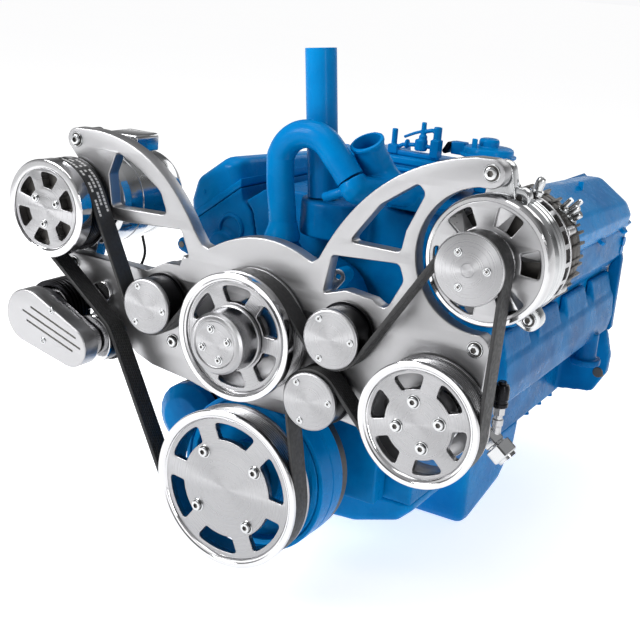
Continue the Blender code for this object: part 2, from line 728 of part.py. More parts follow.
def build_alternator_parts(satin, chrome, dark, copper, steel):
    cap = [(0, -21), (9, -21), (36, -18.5), (39, -17), (39, -15), (0, -15)]
    turned("alternator_cap", cap, ALTERNATOR, satin, 24)
    pulley = [
        (0, -14.7), (ALTERNATOR_R, -14.7), (ALTERNATOR_R, 14.6), (37, 14.6),
        (37, 18), (12, 18), (12, 6), (0, 6),
    ]
    turned("alternator_pulley", pulley, ALTERNATOR, steel, 24)
    fan_section = [(10, 25), (44, 25), (62, 30), (69, 30), (71, 33), (71, 42), (10, 42)]
    fan = turned("alternator_fan", fan_section, ALTERNATOR, chrome, 26)
    windowed(fan, ALTERNATOR, 6, 8, 16, 40, 61, 20, 50, chrome)
    front = [(22, 44), (40, 44), (62, 48), (70, 56), (70, 78), (54, 78), (54, 62), (22, 62)]
    case = turned("alternator_front_case", front, ALTERNATOR, chrome, 24)
    top_lug = prism("alternator_top_lug", capsule((282, 396), 18, (280, 426), 13), 47, 64, chrome)
    low_lug = prism("alternator_low_lug", capsule((312, 292), 18, (331, 277), 13), 47, 64, chrome)
    side_lug = prism("alternator_side_lug", capsule((292, 382), 15, (302, 402), 11), 50, 66, chrome)
    unite(case, top_lug, low_lug, side_lug)
    turned("alternator_stator", [(54, 78.3), (67, 78.3), (67, 112), (54, 112)], ALTERNATOR, copper, 24)
    rear = [(54, 112.3), (67, 112.3), (67, 136), (56, 150), (0, 150), (0, 144), (44, 144), (54, 134)]
    turned("alternator_rear_case", rear, ALTERNATOR, dark, 24)
    rotor = [
        (0, 6.3), (9.7, 6.3), (9.7, 66), (50, 66), (50, 130), (9, 130), (9, 140), (0, 140),
    ]
    turned("alternator_rotor", rotor, ALTERNATOR, steel, 24)


def build_steering_parts(satin, chrome, steel):
    pulley = ribbed_pulley("steering_pump_pulley", STEERING, 72.1, STEERING_R, -20, 19, satin, 36, 22)
    windowed(pulley, STEERING, 6, -12, 19, 41, 57, -25, 5, satin)
    shaft_section = [(0, 22.3), (18, 22.3), (18, 34), (9.5, 34), (9.5, 70), (0, 70)]
    turned("steering_pump_shaft", shaft_section, STEERING, steel, 16)
    body_section = [
        (10, 44), (26, 44), (36, 50), (38, 54), (38, 104), (24, 108), (24, 126), (0, 126), (0, 72), (10, 72),
    ]
    body = turned("steering_pump_body", body_section, STEERING, chrome, 24)
    port_section = [(0, 24), (8, 24), (8, 52), (0, 52)]
    unite(body, turned("steering_pump_port", port_section, STEERING, chrome, 12, facing(53), (0, 82, 0)))
    fitting_section = [
        (0, 38.3), (9, 38.3), (9, 54), (12, 54), (12, 68), (15.5, 68), (15.5, 86), (12, 90), (0, 90),
    ]
    fitting = turned("steering_pump_fitting", fitting_section, STEERING, chrome, 6, facing(-38), (0, 88, 0))
    switch_section = [(0, 124), (6.5, 124), (6.5, 156), (9.5, 158), (9.5, 184), (5, 188), (0, 188)]
    switch = turned("pressure_switch", switch_section, CRANK, chrome, 12, facing(90), (297, 88, 0))
    unite(fitting, switch)


def build_idler(label, axis, satin, black, steel):
    section = [(12, -14), (IDLER_R, -14), (IDLER_R, 14.4), (36, 14.4), (36, 17.5), (12, 17.5)]
    turned("idler_pulley_" + label, section, axis, black, 24)
    cap = [(0, -22), (7, -22), (33, -19), (35, -17), (35, -14.3), (0, -14.3)]
    turned("idler_cap_" + label, cap, axis, satin, 26)
    foot = PLATE_FRONT - GAP
    spindle = [(0, -12), (11.7, -12), (11.7, 17.8), (18, 17.8), (18, foot), (0, foot)]
    turned("idler_spindle_" + label, spindle, axis, steel, 16)


def build_tensioner(satin, black, steel):
    pivot, wheel = TENSIONER_PIVOT, TENSIONER
    cup_section = [(0, -12), (8, -12), (8, 10), (31, 10), (31, -12), (38, -12), (38, 21.7), (0, 21.7)]
    cup = turned("tensioner_base", cup_section, pivot, black, 24)
    reach = (-232 - pivot[0], 196 - pivot[1])
    lug = prism("tensioner_lug", capsule((26, 10), 14, reach, 14), 17, 21.7, black, pivot)
    unite(cup, lug)
    offset = (wheel[0] - pivot[0], wheel[1] - pivot[1])
    arm = prism("tensioner_arm", capsule((0, 0), 30, offset, 20), -31, -17, satin, pivot)
    axle = turned("tensioner_axle", [(0, -20), (9.7, -20), (9.7, 12), (0, 12)], wheel, steel, 16)
    collar = turned("tensioner_collar", [(8.4, -20), (16, -20), (16, -6), (8.4, -6)], pivot, satin, 20)
    unite(arm, axle, collar)
    cover = prism("tensioner_cover", capsule((0, 0), 35, offset, 27, 10), -56, -31.3, satin, pivot)
    bevel(cover, 4, 2, 60)
    rim = [
        (10, -14), (TENSIONER_R - 2, -15), (TENSIONER_R, -14), (TENSIONER_R, 14.4),
        (34, 14.4), (34, 16.5), (10, 16.5),
    ]
    turned("tensioner_pulley", rim, wheel, black, 24)
    turns, points = 2.5, 26
    coil = []
    for i in range(points + 1):
        angle = 2 * math.pi * turns * i / points
        coil.append((24 * math.cos(angle) + pivot[0], -3 + 9 * i / points, 24 * math.sin(angle) + pivot[1]))
    swept("tensioner_spring", coil, 1.9, steel, 5)


def main():
    clear_scene()
    blue = finish("blue_enamel", (0.02, 0.23, 0.62), 0.0, 0.25)
    satin = finish("machined_aluminium", (0.80, 0.80, 0.81), 1.0, 0.30)
    chrome = finish("polished_alloy", (0.86, 0.87, 0.88), 1.0, 0.12)
    dark = finish("dark_casting", (0.22, 0.21, 0.20), 0.9, 0.5)
    copper = finish("stator_iron", (0.25, 0.20, 0.17), 0.9, 0.5)
    steel = finish("bright_steel", (0.62, 0.62, 0.63), 1.0, 0.3)
    black = finish("black_anodised", (0.03, 0.03, 0.035), 0.6, 0.4)
    rubber = finish("belt_rubber", (0.02, 0.02, 0.02), 0.0, 0.7)

    build_block(blue)
    for side in (-1, 1):
        build_head(side, blue)
        build_valve_cover(side, blue)
        build_exhaust_manifold(side, blue)
    build_intake(blue)
    build_plenum(blue)
    build_oil_pan(blue)
    build_timing_cover(blue)
    build_fuel_pump(blue)
    build_filler_tube(blue)
    build_bypass_pipe(blue)
    build_thermostat_housing(blue)
    build_fitting_tree(blue)
    build_recirculation_valve(blue)
    build_water_pump_housing(blue)
    build_plate(satin)
    build_standoff("standoff_left", (-118, 154), BLOCK_FRONT, satin)
    build_standoff("standoff_right", (180, 232), HEAD_BOSS_FRONT, satin)
    build_standoff("standoff_upper", (-176, 223), HEAD_BOSS_FRONT, satin)
    build_crank_parts(satin, steel, blue)
    build_camshaft(steel)
    build_water_pump_parts(satin, steel)
    build_compressor_parts(satin, chrome, black, rubber)
    build_alternator_parts(satin, chrome, dark, copper, steel)
    build_steering_parts(satin, chrome, steel)
    for label, axis in (("left", IDLER_LEFT), ("middle", IDLER_MIDDLE), ("lower", IDLER_LOWER)):
        build_idler(label, axis, satin, black, steel)
    build_tensioner(satin, black, steel)
    build_belt(rubber)


main()
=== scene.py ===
"""The looks of a V8 engine with a machined serpentine accessory drive.

Lengths below are in millimetres unless they end in _m. y is measured back from the belt's
centre plane, x and z from the crankshaft's axis, as seen from the belt end.
"""

import math

import bmesh
import bpy
from mathutils import Matrix, Vector
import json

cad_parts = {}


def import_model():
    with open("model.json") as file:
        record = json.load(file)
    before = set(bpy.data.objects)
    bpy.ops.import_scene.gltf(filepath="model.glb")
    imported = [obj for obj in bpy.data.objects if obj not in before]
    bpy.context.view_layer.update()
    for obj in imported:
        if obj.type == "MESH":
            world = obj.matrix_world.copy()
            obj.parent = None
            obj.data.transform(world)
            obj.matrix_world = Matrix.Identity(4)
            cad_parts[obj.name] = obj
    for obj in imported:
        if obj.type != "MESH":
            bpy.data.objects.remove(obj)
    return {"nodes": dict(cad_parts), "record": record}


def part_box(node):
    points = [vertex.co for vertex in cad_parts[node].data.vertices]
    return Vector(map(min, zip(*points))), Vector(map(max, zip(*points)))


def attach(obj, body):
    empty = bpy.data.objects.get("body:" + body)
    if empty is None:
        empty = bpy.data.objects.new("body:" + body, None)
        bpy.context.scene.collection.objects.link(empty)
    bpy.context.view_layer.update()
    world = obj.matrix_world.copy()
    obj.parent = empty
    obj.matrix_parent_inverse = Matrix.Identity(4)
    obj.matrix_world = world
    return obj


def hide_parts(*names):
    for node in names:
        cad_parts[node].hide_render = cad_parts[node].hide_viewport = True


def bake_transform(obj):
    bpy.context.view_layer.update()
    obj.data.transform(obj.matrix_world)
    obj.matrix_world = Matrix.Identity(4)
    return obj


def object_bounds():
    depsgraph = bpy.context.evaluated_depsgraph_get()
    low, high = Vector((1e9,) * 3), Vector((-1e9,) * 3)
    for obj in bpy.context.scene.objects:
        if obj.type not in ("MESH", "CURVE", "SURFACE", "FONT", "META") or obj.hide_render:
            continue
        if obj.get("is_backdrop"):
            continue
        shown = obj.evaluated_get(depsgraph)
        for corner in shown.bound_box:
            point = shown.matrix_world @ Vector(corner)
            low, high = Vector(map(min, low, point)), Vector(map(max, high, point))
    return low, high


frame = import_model()
cad_low, cad_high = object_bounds()

MM = 0.001
JOINTS = {joint["name"]: joint for joint in frame["record"]["behaviour"]["joints"]}


def joint_axis(name):
    """A joint's place as (x, z) in millimetres."""
    x, _, z = JOINTS[name]["pos_m"]
    return x / MM, z / MM


BELT_Y_M = JOINTS["crank_spin"]["pos_m"][1]
CRANK = joint_axis("crank_spin")
WATER_PUMP = joint_axis("water_pump_spin")
COMPRESSOR = joint_axis("compressor_spin")
ALTERNATOR = joint_axis("alternator_spin")
STEERING = joint_axis("steering_pump_spin")
IDLERS = {label: joint_axis("idler_%s_spin" % label) for label in ("left", "middle", "lower")}
TENSIONER = joint_axis("tensioner_wheel_spin")
TENSIONER_PIVOT = joint_axis("tensioner_swing")

BELT_WIDTH = 28.0
BELT_THICKNESS = 4.5
DRUM_END = BELT_WIDTH / 2 + 0.8
GAP = 0.3
WELD_M = 0.00001
PLATE_FRONT, PLATE_BACK = 22.0, 41.0
HEAD_FRONT, HEAD_REAR = 212.0, 738.0


# ---------------------------------------------------------------- materials

def feed(tree, target, values):
    """Set a node's inputs from numbers, colours or other nodes' outputs."""
    for key, value in values.items():
        if isinstance(value, bpy.types.NodeSocket):
            tree.links.new(value, target.inputs[key])
        else:
            target.inputs[key].default_value = value


def node(tree, kind, values, output, **settings):
    """Add a node, set it up, and return one of its outputs."""
    made = tree.nodes.new("ShaderNode" + kind)
    for key, value in settings.items():
        setattr(made, key, value)
    feed(tree, made, values)
    return made.outputs[output]


def new_material(name, colour, metallic, roughness):
    material = bpy.data.materials.new(name)
    material.use_nodes = True
    tree = material.node_tree
    shader = tree.nodes["Principled BSDF"]
    feed(tree, shader, {"Base Color": (*colour, 1.0), "Metallic": metallic, "Roughness": roughness})
    return material, tree, shader


def object_position(tree, scale=(1, 1, 1)):
    place = node(tree, "TexCoord", {}, "Object")
    return node(tree, "Mapping", {"Scale": scale, "Vector": place}, "Vector")


def noise(tree, place, scale, detail=3.0, roughness=0.5):
    values = {"Scale": scale, "Detail": detail, "Roughness": roughness, "Vector": place}
    return node(tree, "TexNoise", values, "Fac")


def spread(tree, value, low, high, start=0.3, end=0.7):
    """Map a noise value onto a range of numbers."""
    values = {"From Min": start, "From Max": end, "To Min": low, "To Max": high, "Value": value}
    return node(tree, "MapRange", values, "Result")


def blend_colour(tree, factor, first, second):
    values = {"A": (*first, 1.0), "B": (*second, 1.0), "Factor": factor}
    return node(tree, "Mix", values, "Result", data_type="RGBA")


def add_bump(tree, shader, height, strength, distance_m):
    """Lay one more bump over those the shader has."""
    values = {"Strength": strength, "Distance": distance_m, "Height": height}
    previous = shader.inputs["Normal"].links
    if previous:
        values["Normal"] = previous[0].from_socket
    feed(tree, shader, {"Normal": node(tree, "Bump", values, "Normal")})


def enamel(name, light, dark, grain, grain_depth_m, gloss):
    """Engine enamel sprayed over a casting: cloudy colour, orange peel and cast grain."""
    material, tree, shader = new_material(name, light, 0.0, gloss)
    place = object_position(tree)
    cloud = spread(tree, noise(tree, place, 14.0, 4.0), 0.0, 1.0, 0.35, 0.65)
    feed(tree, shader, {
        "Base Color": blend_colour(tree, cloud, dark, light),
        "Roughness": spread(tree, noise(tree, place, 60.0), gloss - 0.06, gloss + 0.12),
        "Coat Weight": 0.03, "Coat Roughness": 0.08, "Specular IOR Level": 0.16, "IOR": 1.25,
    })
    add_bump(tree, shader, noise(tree, place, grain, 4.0, 0.6), 0.55, grain_depth_m)
    add_bump(tree, shader, noise(tree, place, 55.0, 2.0), 0.35, 0.0012)
    return material


def lathe_rings(tree):
    """Noise that changes only with the distance from the piece's own Y axis, like tool marks."""
    place = node(tree, "TexCoord", {}, "Object")
    flat = node(tree, "VectorMath", {0: place, 1: (1.0, 0.0, 1.0)}, "Vector", operation="MULTIPLY")
    radius = node(tree, "VectorMath", {0: flat}, "Value", operation="LENGTH")
    values = {"Scale": LATHE_RINGS_PER_M, "Detail": 3.0, "W": radius}
    return node(tree, "TexNoise", values, "Fac", noise_dimensions="1D")


def turned_metal(name, colour, roughness, anisotropic):
    """Lathe-turned metal with a radial sheen."""
    material, tree, shader = new_material(name, colour, 1.0, roughness)
    rings = lathe_rings(tree)
    darker = tuple(c * 0.86 for c in colour)
    feed(tree, shader, {
        "Roughness": spread(tree, rings, roughness - 0.05, roughness + 0.07),
        "Base Color": blend_colour(tree, spread(tree, rings, 0.0, 1.0), darker, colour),
        "Tangent": node(tree, "Tangent", {}, "Tangent", direction_type="RADIAL", axis="Y"),
        "Anisotropic": anisotropic,
    })
    add_bump(tree, shader, rings, 0.5, 0.00004)
    return material


def plain_metal(name, colour, roughness, grain=(400.0,) * 3, depth_m=0.00003, vary=0.06, cloud=0.9):
    """Flat machined or polished metal, with grain stretched by the given scales."""
    material, tree, shader = new_material(name, colour, 1.0, roughness)
    lines = noise(tree, object_position(tree, grain), 1.0, 5.0, 0.6)
    smear = spread(tree, noise(tree, object_position(tree), 9.0, 3.0), 0.0, 1.0)
    darker = tuple(c * cloud for c in colour)
    feed(tree, shader, {
        "Roughness": spread(tree, lines, roughness - vary * 0.6, roughness + vary),
        "Base Color": blend_colour(tree, smear, darker, colour),
    })
    add_bump(tree, shader, lines, 0.4, depth_m)
    return material


def belt_rubber():
    """Black rubber with a faint weave, and rows of plain grey dashes on one run of its back."""
    black, print_grey = (0.012, 0.012, 0.013), (0.62, 0.62, 0.62)
    material, tree, shader = new_material("belt_rubber", black, 0.0, 0.55)

    def calc(operation, first, second=0.0):
        return node(tree, "Math", {0: first, 1: second}, "Value", operation=operation)

    def near(value, middle, reach):
        """1 where the value is within reach of the middle, else 0."""
        return calc("LESS_THAN", calc("ABSOLUTE", calc("SUBTRACT", value, middle)), reach)

    where = node(tree, "UVMap", {}, "UV", uv_map="run")
    along, across = (node(tree, "SeparateXYZ", {"Vector": where}, way) for way in "XY")
    cells = calc("MULTIPLY", along, DASHES_PER_M)
    rows = calc("ADD", calc("MULTIPLY", across, DASH_ROWS_PER_M), 0.5)
    cell = node(tree, "CombineXYZ", {"X": calc("FLOOR", cells), "Y": calc("FLOOR", rows)}, "Vector")
    dice = node(tree, "TexWhiteNoise", {"Vector": cell}, "Value", noise_dimensions="2D")
    mark = calc("GREATER_THAN", dice, 0.25)
    for part in (near(calc("FRACT", rows), 0.5, 0.24), near(calc("FRACT", cells), 0.5, 0.38),
                 near(across, 0.0, 0.0115), near(along, BELT_MARK_MIDDLE_M, 0.094)):
        mark = calc("MULTIPLY", mark, part)
    place = object_position(tree)
    feed(tree, shader, {
        "Base Color": blend_colour(tree, calc("MULTIPLY", mark, 0.85), black, print_grey),
        "Roughness": spread(tree, noise(tree, place, 220.0), 0.42, 0.66),
    })
    add_bump(tree, shader, noise(tree, place, 900.0, 3.0), 0.5, 0.00015)
    return material


LATHE_RINGS_PER_M = 900.0
BELT_MARK_MIDDLE_M, DASHES_PER_M, DASH_ROWS_PER_M = 0.538, 220.0, 130.0
BLUE = enamel("cover_enamel", (0.0, 0.205, 0.52), (0.0, 0.155, 0.43), 320.0, 0.00012, 0.22)
CAST_BLUE = enamel("casting_enamel", (0.0, 0.165, 0.43), (0.0, 0.09, 0.27), 190.0, 0.0007, 0.28)
FACE = turned_metal("turned_face", (0.37, 0.37, 0.38), 0.30, 0.85)
DRUM = turned_metal("turned_drum", (0.42, 0.42, 0.43), 0.26, 0.3)
RIM = plain_metal("polished_rim", (0.62, 0.62, 0.63), 0.10, depth_m=0.00001)
PLATE = plain_metal("plate_satin", (0.42, 0.42, 0.43), 0.36, (90.0, 90.0, 500.0), 0.000006, 0.03, 0.94)
CHROME = plain_metal("polished_alloy", (0.56, 0.57, 0.58), 0.14, depth_m=0.00002)
CAST_ALLOY = plain_metal("cast_alloy", (0.50, 0.50, 0.51), 0.32, (260.0, 260.0, 260.0), 0.00025, 0.12)
STEEL = plain_metal("bright_steel", (0.45, 0.45, 0.46), 0.26, (300.0, 40.0, 300.0), 0.00004, 0.10)
# Dark cast metal; the same material also stands in as painted shade in holes, socket floors, groove floors,
# behind the alternator fan and at the damper's rear edge.
DARK = plain_metal("dark_casting", (0.10, 0.095, 0.09), 0.44, (260.0, 260.0, 260.0), 0.0003, 0.12)
STATOR = plain_metal("stator_iron", (0.09, 0.08, 0.075), 0.40, (30.0, 2600.0, 30.0), 0.0003, 0.12, 0.6)
BLACK = turned_metal("black_anodised", (0.018, 0.018, 0.020), 0.28, 0.3)
RUBBER = belt_rubber()


# ---------------------------------------------------------------- mesh tools

def world(x, y, z):
    """A point in the frame, in metres."""
    return Vector((x * MM, BELT_Y_M + y * MM, z * MM))


def evaluated(item):
    graph = bpy.context.evaluated_depsgraph_get()
    graph.update()
    return bpy.data.meshes.new_from_object(item.evaluated_get(graph))


def apply_modifiers(item):
    mesh = evaluated(item)
    item.modifiers.clear()
    item.data = mesh


def smooth_by_angle(mesh, degrees=32):
    mesh.shade_smooth()
    mesh.set_sharp_from_angle(angle=math.radians(degrees))


def placed(name, data, location=(0, 0, 0)):
    """Add an object to the scene."""
    item = bpy.data.objects.new(name, data)
    item.location = location
    bpy.context.scene.collection.objects.link(item)
    return item


def raw(name, bm, axis):
    """An object whose origin lies on an axis, in the belt's centre plane."""
    bmesh.ops.recalc_face_normals(bm, faces=bm.faces)
    mesh = bpy.data.meshes.new(name)
    bm.to_mesh(mesh)
    bm.free()
    mesh.transform(Matrix.Scale(MM, 4))
    return placed(name, mesh, world(axis[0], 0, axis[1]))


def finished(item, material, node_name=None, body="root", edge=0.0, segments=2, angle=32):
    """Round an object's edges, give it its finish, and let it ride on its body."""
    if edge:
        modifier = item.modifiers.new("edge", "BEVEL")
        modifier.width = edge * MM
        modifier.segments = segments
        modifier.limit_method = "ANGLE"
        modifier.angle_limit = math.radians(angle)
    if item.modifiers:
        apply_modifiers(item)
    smooth_by_angle(item.data, angle)
    item.data.materials.clear()
    item.data.materials.append(material)
    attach(item, body)
    if node_name:
        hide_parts(node_name)
    return item


def lathe(bm, profile, segments=72, turn=None, at=(0, 0, 0), phase=0.5):
    """Add a closed section of (radius, y) points, turned about Y, to a bmesh."""
    made = []
    rings = []
    for radius, y in profile:
        if callable(radius) or radius > 0:
            ring = []
            for i in range(segments):
                a = 2 * math.pi * (i + phase) / segments
                r = radius(a) if callable(radius) else radius
                ring.append(bm.verts.new((r * math.cos(a), y, r * math.sin(a))))
        else:
            ring = [bm.verts.new((0, y, 0))]
        made += ring
        rings.append(ring)
    for ring, following in zip(rings, rings[1:] + rings[:1]):
        if len(ring) == 1 and len(following) == 1:
            continue
        for i in range(segments):
            j = (i + 1) % segments
            corners = [ring[i % len(ring)], ring[j % len(ring)], following[j % len(following)],
                following[i % len(following)]]
            bm.faces.new(list(dict.fromkeys(corners)))
    if turn is not None:
        bmesh.ops.transform(bm, matrix=turn, verts=made)
    bmesh.ops.translate(bm, vec=at, verts=made)


def turned(name, profile, axis, segments, turn=None, at=(0, 0, 0)):
    bm = bmesh.new()
    lathe(bm, profile, segments, turn, at)
    return raw(name, bm, axis)


def spun(name, profile, axis, segments, material, node_name=None, body="root", turn=None,
         at=(0, 0, 0), angle=24, edge=0.0):
    """A turned piece with its finish."""
    item = turned(name, profile, axis, segments, turn, at)
    return finished(item, material, node_name, body, edge, angle=angle)


def curve(start, control, end, steps):
    points = []
    for i in range(steps + 1):
        t = i / steps
        points.append(tuple((1 - t) ** 2 * a + 2 * t * (1 - t) * b + t * t * c for a, b,
            c in zip(start, control, end)))
    return points


def arc(centre, radius, start, end, steps):
    points = []
    for i in range(steps + 1):
        a = math.radians(start + (end - start) * i / steps)
        points.append((centre[0] + radius * math.cos(a), centre[1] + radius * math.sin(a)))
    return points


def circle(centre, radius, count=64):
    return arc(centre, radius, 0, 360 - 360 / count, count - 1)


def capsule(first, r1, second, r2, steps=20):
    """Two circles' outline joined by their outer tangents."""
    dx, dz = second[0] - first[0], second[1] - first[1]
    length = math.hypot(dx, dz)
    heading = math.degrees(math.atan2(dz, dx))
    lean = math.degrees(math.acos((r1 - r2) / length))
    far = arc(second, r2, heading - lean, heading + lean, steps)
    near = arc(first, r1, heading + lean, heading + 360 - lean, steps)
    return far + near


def mirrored(outline):
    return [(-x, z) for x, z in outline][::-1]


def rounded(corners, steps=6):
    """An outline from (x, z, radius) corners."""
    outline = []
    for i, (x, z, radius) in enumerate(corners):
        if radius == 0:
            outline.append((x, z))
            continue
        corner = Vector((x, z))
        before = (Vector(corners[i - 1][:2]) - corner).normalized()
        after = (Vector(corners[(i + 1) % len(corners)][:2]) - corner).normalized()
        reach = radius / math.tan(before.angle(after) / 2)
        outline += curve(tuple(corner + before * reach), (x, z), tuple(corner + after * reach), steps)
    return outline


def slab(name, loops, y0, y1, axis, edge=1.0, steps=2):
    """A flat plate with holes and rounded edges, from (x, z) loops about its axis."""
    shape = bpy.data.curves.new(name, "CURVE")
    shape.dimensions = "2D"
    shape.fill_mode = "BOTH"
    for loop in loops:
        spline = shape.splines.new("POLY")
        spline.points.add(len(loop) - 1)
        for point, (x, z) in zip(spline.points, loop):
            point.co = (x * MM, z * MM, 0, 1)
        spline.use_cyclic_u = True
    shape.extrude = (y1 - y0) * MM / 2 - edge * MM
    shape.bevel_depth = edge * MM
    shape.bevel_resolution = steps
    shape.offset = -edge * MM
    holder = placed(name + "_outline", shape)
    mesh = evaluated(holder)
    bpy.data.objects.remove(holder)
    bpy.data.curves.remove(shape)
    mesh.transform(Matrix.Translation((0, (y0 + y1) * MM / 2, 0)) @ Matrix.Rotation(math.radians(90), 4,
        "X"))
    bm = bmesh.new()
    bm.from_mesh(mesh)
    bmesh.ops.remove_doubles(bm, verts=bm.verts, dist=WELD_M)
    bmesh.ops.recalc_face_normals(bm, faces=bm.faces)
    bm.to_mesh(mesh)
    bm.free()
    mesh.name = name
    return placed(name, mesh, world(axis[0], 0, axis[1]))


def prism(name, outline, y0, y1, axis=CRANK, back_outline=None):
    bm = bmesh.new()
    far_outline = back_outline or outline
    front = [bm.verts.new((x, y0, z)) for x, z in outline]
    back = [bm.verts.new((x, y1, z)) for x, z in far_outline]
    bm.faces.new(front)
    bm.faces.new(back[::-1])
    for i in range(len(outline)):
        j = (i + 1) % len(outline)
        bm.faces.new((front[i], back[i], back[j], front[j]))
    return raw(name, bm, axis)


def skin(name, rings, axis=CRANK):
    """A closed body through (y, outline) rings that have the same number of points."""
    bm = bmesh.new()
    loops = [[bm.verts.new((x, y, z)) for x, z in outline] for y, outline in rings]
    for near, far in zip(loops, loops[1:]):
        for i in range(len(near)):
            j = (i + 1) % len(near)
            bm.faces.new((near[i], far[i], far[j], near[j]))
    bm.faces.new(loops[0])
    bm.faces.new(loops[-1][::-1])
    return raw(name, bm, axis)


UPRIGHT = Matrix.Rotation(math.radians(90), 4, "X")


def facing(angle):
    """Turn a section from the Y axis to a direction in the XZ plane, in degrees from +X."""
    return Matrix.Rotation(math.radians(90 - angle), 4, "Y") @ Matrix.Rotation(math.radians(90), 4, "X")


def box(name, low, high):
    (x0, y0, z0), (x1, y1, z1) = low, high
    return prism(name, [(x0, z0), (x1, z0), (x1, z1), (x0, z1)], y0, y1)


def swept(name, points, radii, sides):
    """A round bar along a run of points, with one radius or one for each point."""
    path = [Vector(p) for p in points]
    if not isinstance(radii, (list, tuple)):
        radii = [radii] * len(path)
    bm = bmesh.new()
    rings = []
    normal = Vector((0, 1, 0))
    for i, point in enumerate(path):
        tangent = (path[min(i + 1, len(path) - 1)] - path[max(i - 1, 0)]).normalized()
        normal = (normal - tangent * normal.dot(tangent)).normalized()
        side = tangent.cross(normal)
        ring = []
        for k in range(sides):
            a = 2 * math.pi * k / sides
            ring.append(bm.verts.new(point + radii[i] * (math.cos(a) * normal + math.sin(a) * side)))
        rings.append(ring)
    for ring, following in zip(rings, rings[1:]):
        for i in range(sides):
            j = (i + 1) % sides
            bm.faces.new((ring[i], ring[j], following[j], following[i]))
    bm.faces.new(rings[0])
    bm.faces.new(rings[-1])
    return raw(name, bm, CRANK)


def smooth_path(points, per_span=8):
    """A Catmull-Rom curve through the points."""
    p = [Vector(v) for v in points]
    p = [2 * p[0] - p[1]] + p + [2 * p[-1] - p[-2]]
    out = []
    for i in range(1, len(p) - 2):
        for k in range(per_span):
            t = k / per_span
            out.append(0.5 * (
                2 * p[i] + (p[i + 1] - p[i - 1]) * t
                + (2 * p[i - 1] - 5 * p[i] + 4 * p[i + 1] - p[i + 2]) * t * t
                + (3 * p[i] - p[i - 1] - 3 * p[i + 1] + p[i + 2]) * t ** 3
            ))
    out.append(p[-2])
    return [tuple(v) for v in out]


def joined(name, items):
    """Several objects' meshes in one object, with the first one's origin."""
    first = items[0]
    bm = bmesh.new()
    for item in items:
        if item.modifiers:
            apply_modifiers(item)
        mesh = item.data.copy()
        mesh.transform(Matrix.Translation(item.location - first.location))
        bm.from_mesh(mesh)
        bpy.data.meshes.remove(mesh)
    for item in items[1:]:
        bpy.data.objects.remove(item)
    bm.to_mesh(first.data)
    bm.free()
    first.name = name
    return first


def boolean(item, operation, tool):
    """Add a tool's shape to an object (UNION) or take it away (DIFFERENCE)."""
    modifier = item.modifiers.new(tool.name, "BOOLEAN")
    modifier.operation = operation
    modifier.object = tool
    modifier.solver = "EXACT"
    apply_modifiers(item)
    bpy.data.objects.remove(tool)


def cast(item, voxel, rounds):
    """Fuse an object into one skin with soft cast edges."""
    remesh = item.modifiers.new("fuse", "REMESH")
    remesh.mode = "VOXEL"
    remesh.voxel_size = voxel * MM
    remesh.adaptivity = 0.0
    relax = item.modifiers.new("relax", "SMOOTH")
    relax.factor = 0.5
    relax.iterations = rounds
    apply_modifiers(item)
    return item


def cad_copy(node_name):
    """A new object with a CAD node's shape."""
    item = placed(node_name + "_skin", frame["nodes"][node_name].data.copy())
    bm = bmesh.new()
    bm.from_mesh(item.data)
    bmesh.ops.remove_doubles(bm, verts=bm.verts, dist=WELD_M)
    bm.to_mesh(item.data)
    bm.free()
    return item


def hexagon(across_flats):
    def radius(angle):
        return across_flats / 2 / math.cos((angle % (math.pi / 3)) - math.pi / 6)
    return radius


def screw(heads, socket_shade, at, size, height, turn=None, washer=0.0):
    """A socket-head screw: its head points along -Y unless turned. A dark disc at the socket's floor and a
    dark ring in the gap inside the washer are painted shade.
    """
    socket, plug = hexagon(size * 0.95), hexagon(size * 0.93)
    floor_y = -height * 0.35
    profile = [(0, floor_y), (socket, floor_y), (socket, -height + 0.2), (socket, -height),
        (size - 0.9, -height), (size - 0.3, -height + 0.25), (size, -height + 0.9), (size, 0), (0, 0)]
    lathe(heads, profile, 36, turn, at, 0.0)
    lathe(socket_shade, [(0, floor_y - 0.4), (plug, floor_y - 0.4), (plug, floor_y + 0.2),
        (0, floor_y + 0.2)], 36, turn, at, 0.0)
    if washer:
        inner = washer - 1.5
        ring = [(inner, 0.4), (inner, -0.7), (inner + 0.3, -1.1), (washer - 0.5, -1.1), (washer, -0.7),
            (washer, 0.4)]
        lathe(heads, ring, 48, turn, at)
        lathe(socket_shade, [(size - 0.4, 0.3), (size - 0.4, -0.25), (inner + 0.2, -0.25),
            (inner + 0.2, 0.3)], 48, turn, at)


def screws(name, places, size, height, body, axis=CRANK, washer=0.0, turn=None):
    heads, socket_shade = bmesh.new(), bmesh.new()
    for place in places:
        screw(heads, socket_shade, place, size, height, turn, washer)
    # The dark inserts in the sockets and washer gaps are painted shade.
    finished(raw(name + "_socket_shade", socket_shade, axis), DARK, body=body)
    finished(raw(name, heads, axis), CHROME, body=body)


def around(count, radius, first, y):
    """Points evenly round an axis."""
    places = []
    for i in range(count):
        a = math.radians(first + 360 * i / count)
        places.append((radius * math.cos(a), y, radius * math.sin(a)))
    return places


def hex_bolts(name, places, flats, height, turn):
    """Hexagon-headed bolts with a round washer face."""
    bm = bmesh.new()
    for place in places:
        shape = hexagon(flats)
        small = hexagon(flats * 0.9)
        profile = [(0, -height), (small, -height), (shape, -height + 0.8), (shape, -1.2),
            (flats * 0.62, -1.2), (flats * 0.62, 0.5), (0, 0.5)]
        lathe(bm, profile, 24, turn, place, 0.0)
    finished(raw(name, bm, CRANK), BLUE)


# ---------------------------------------------------------------- belt drive

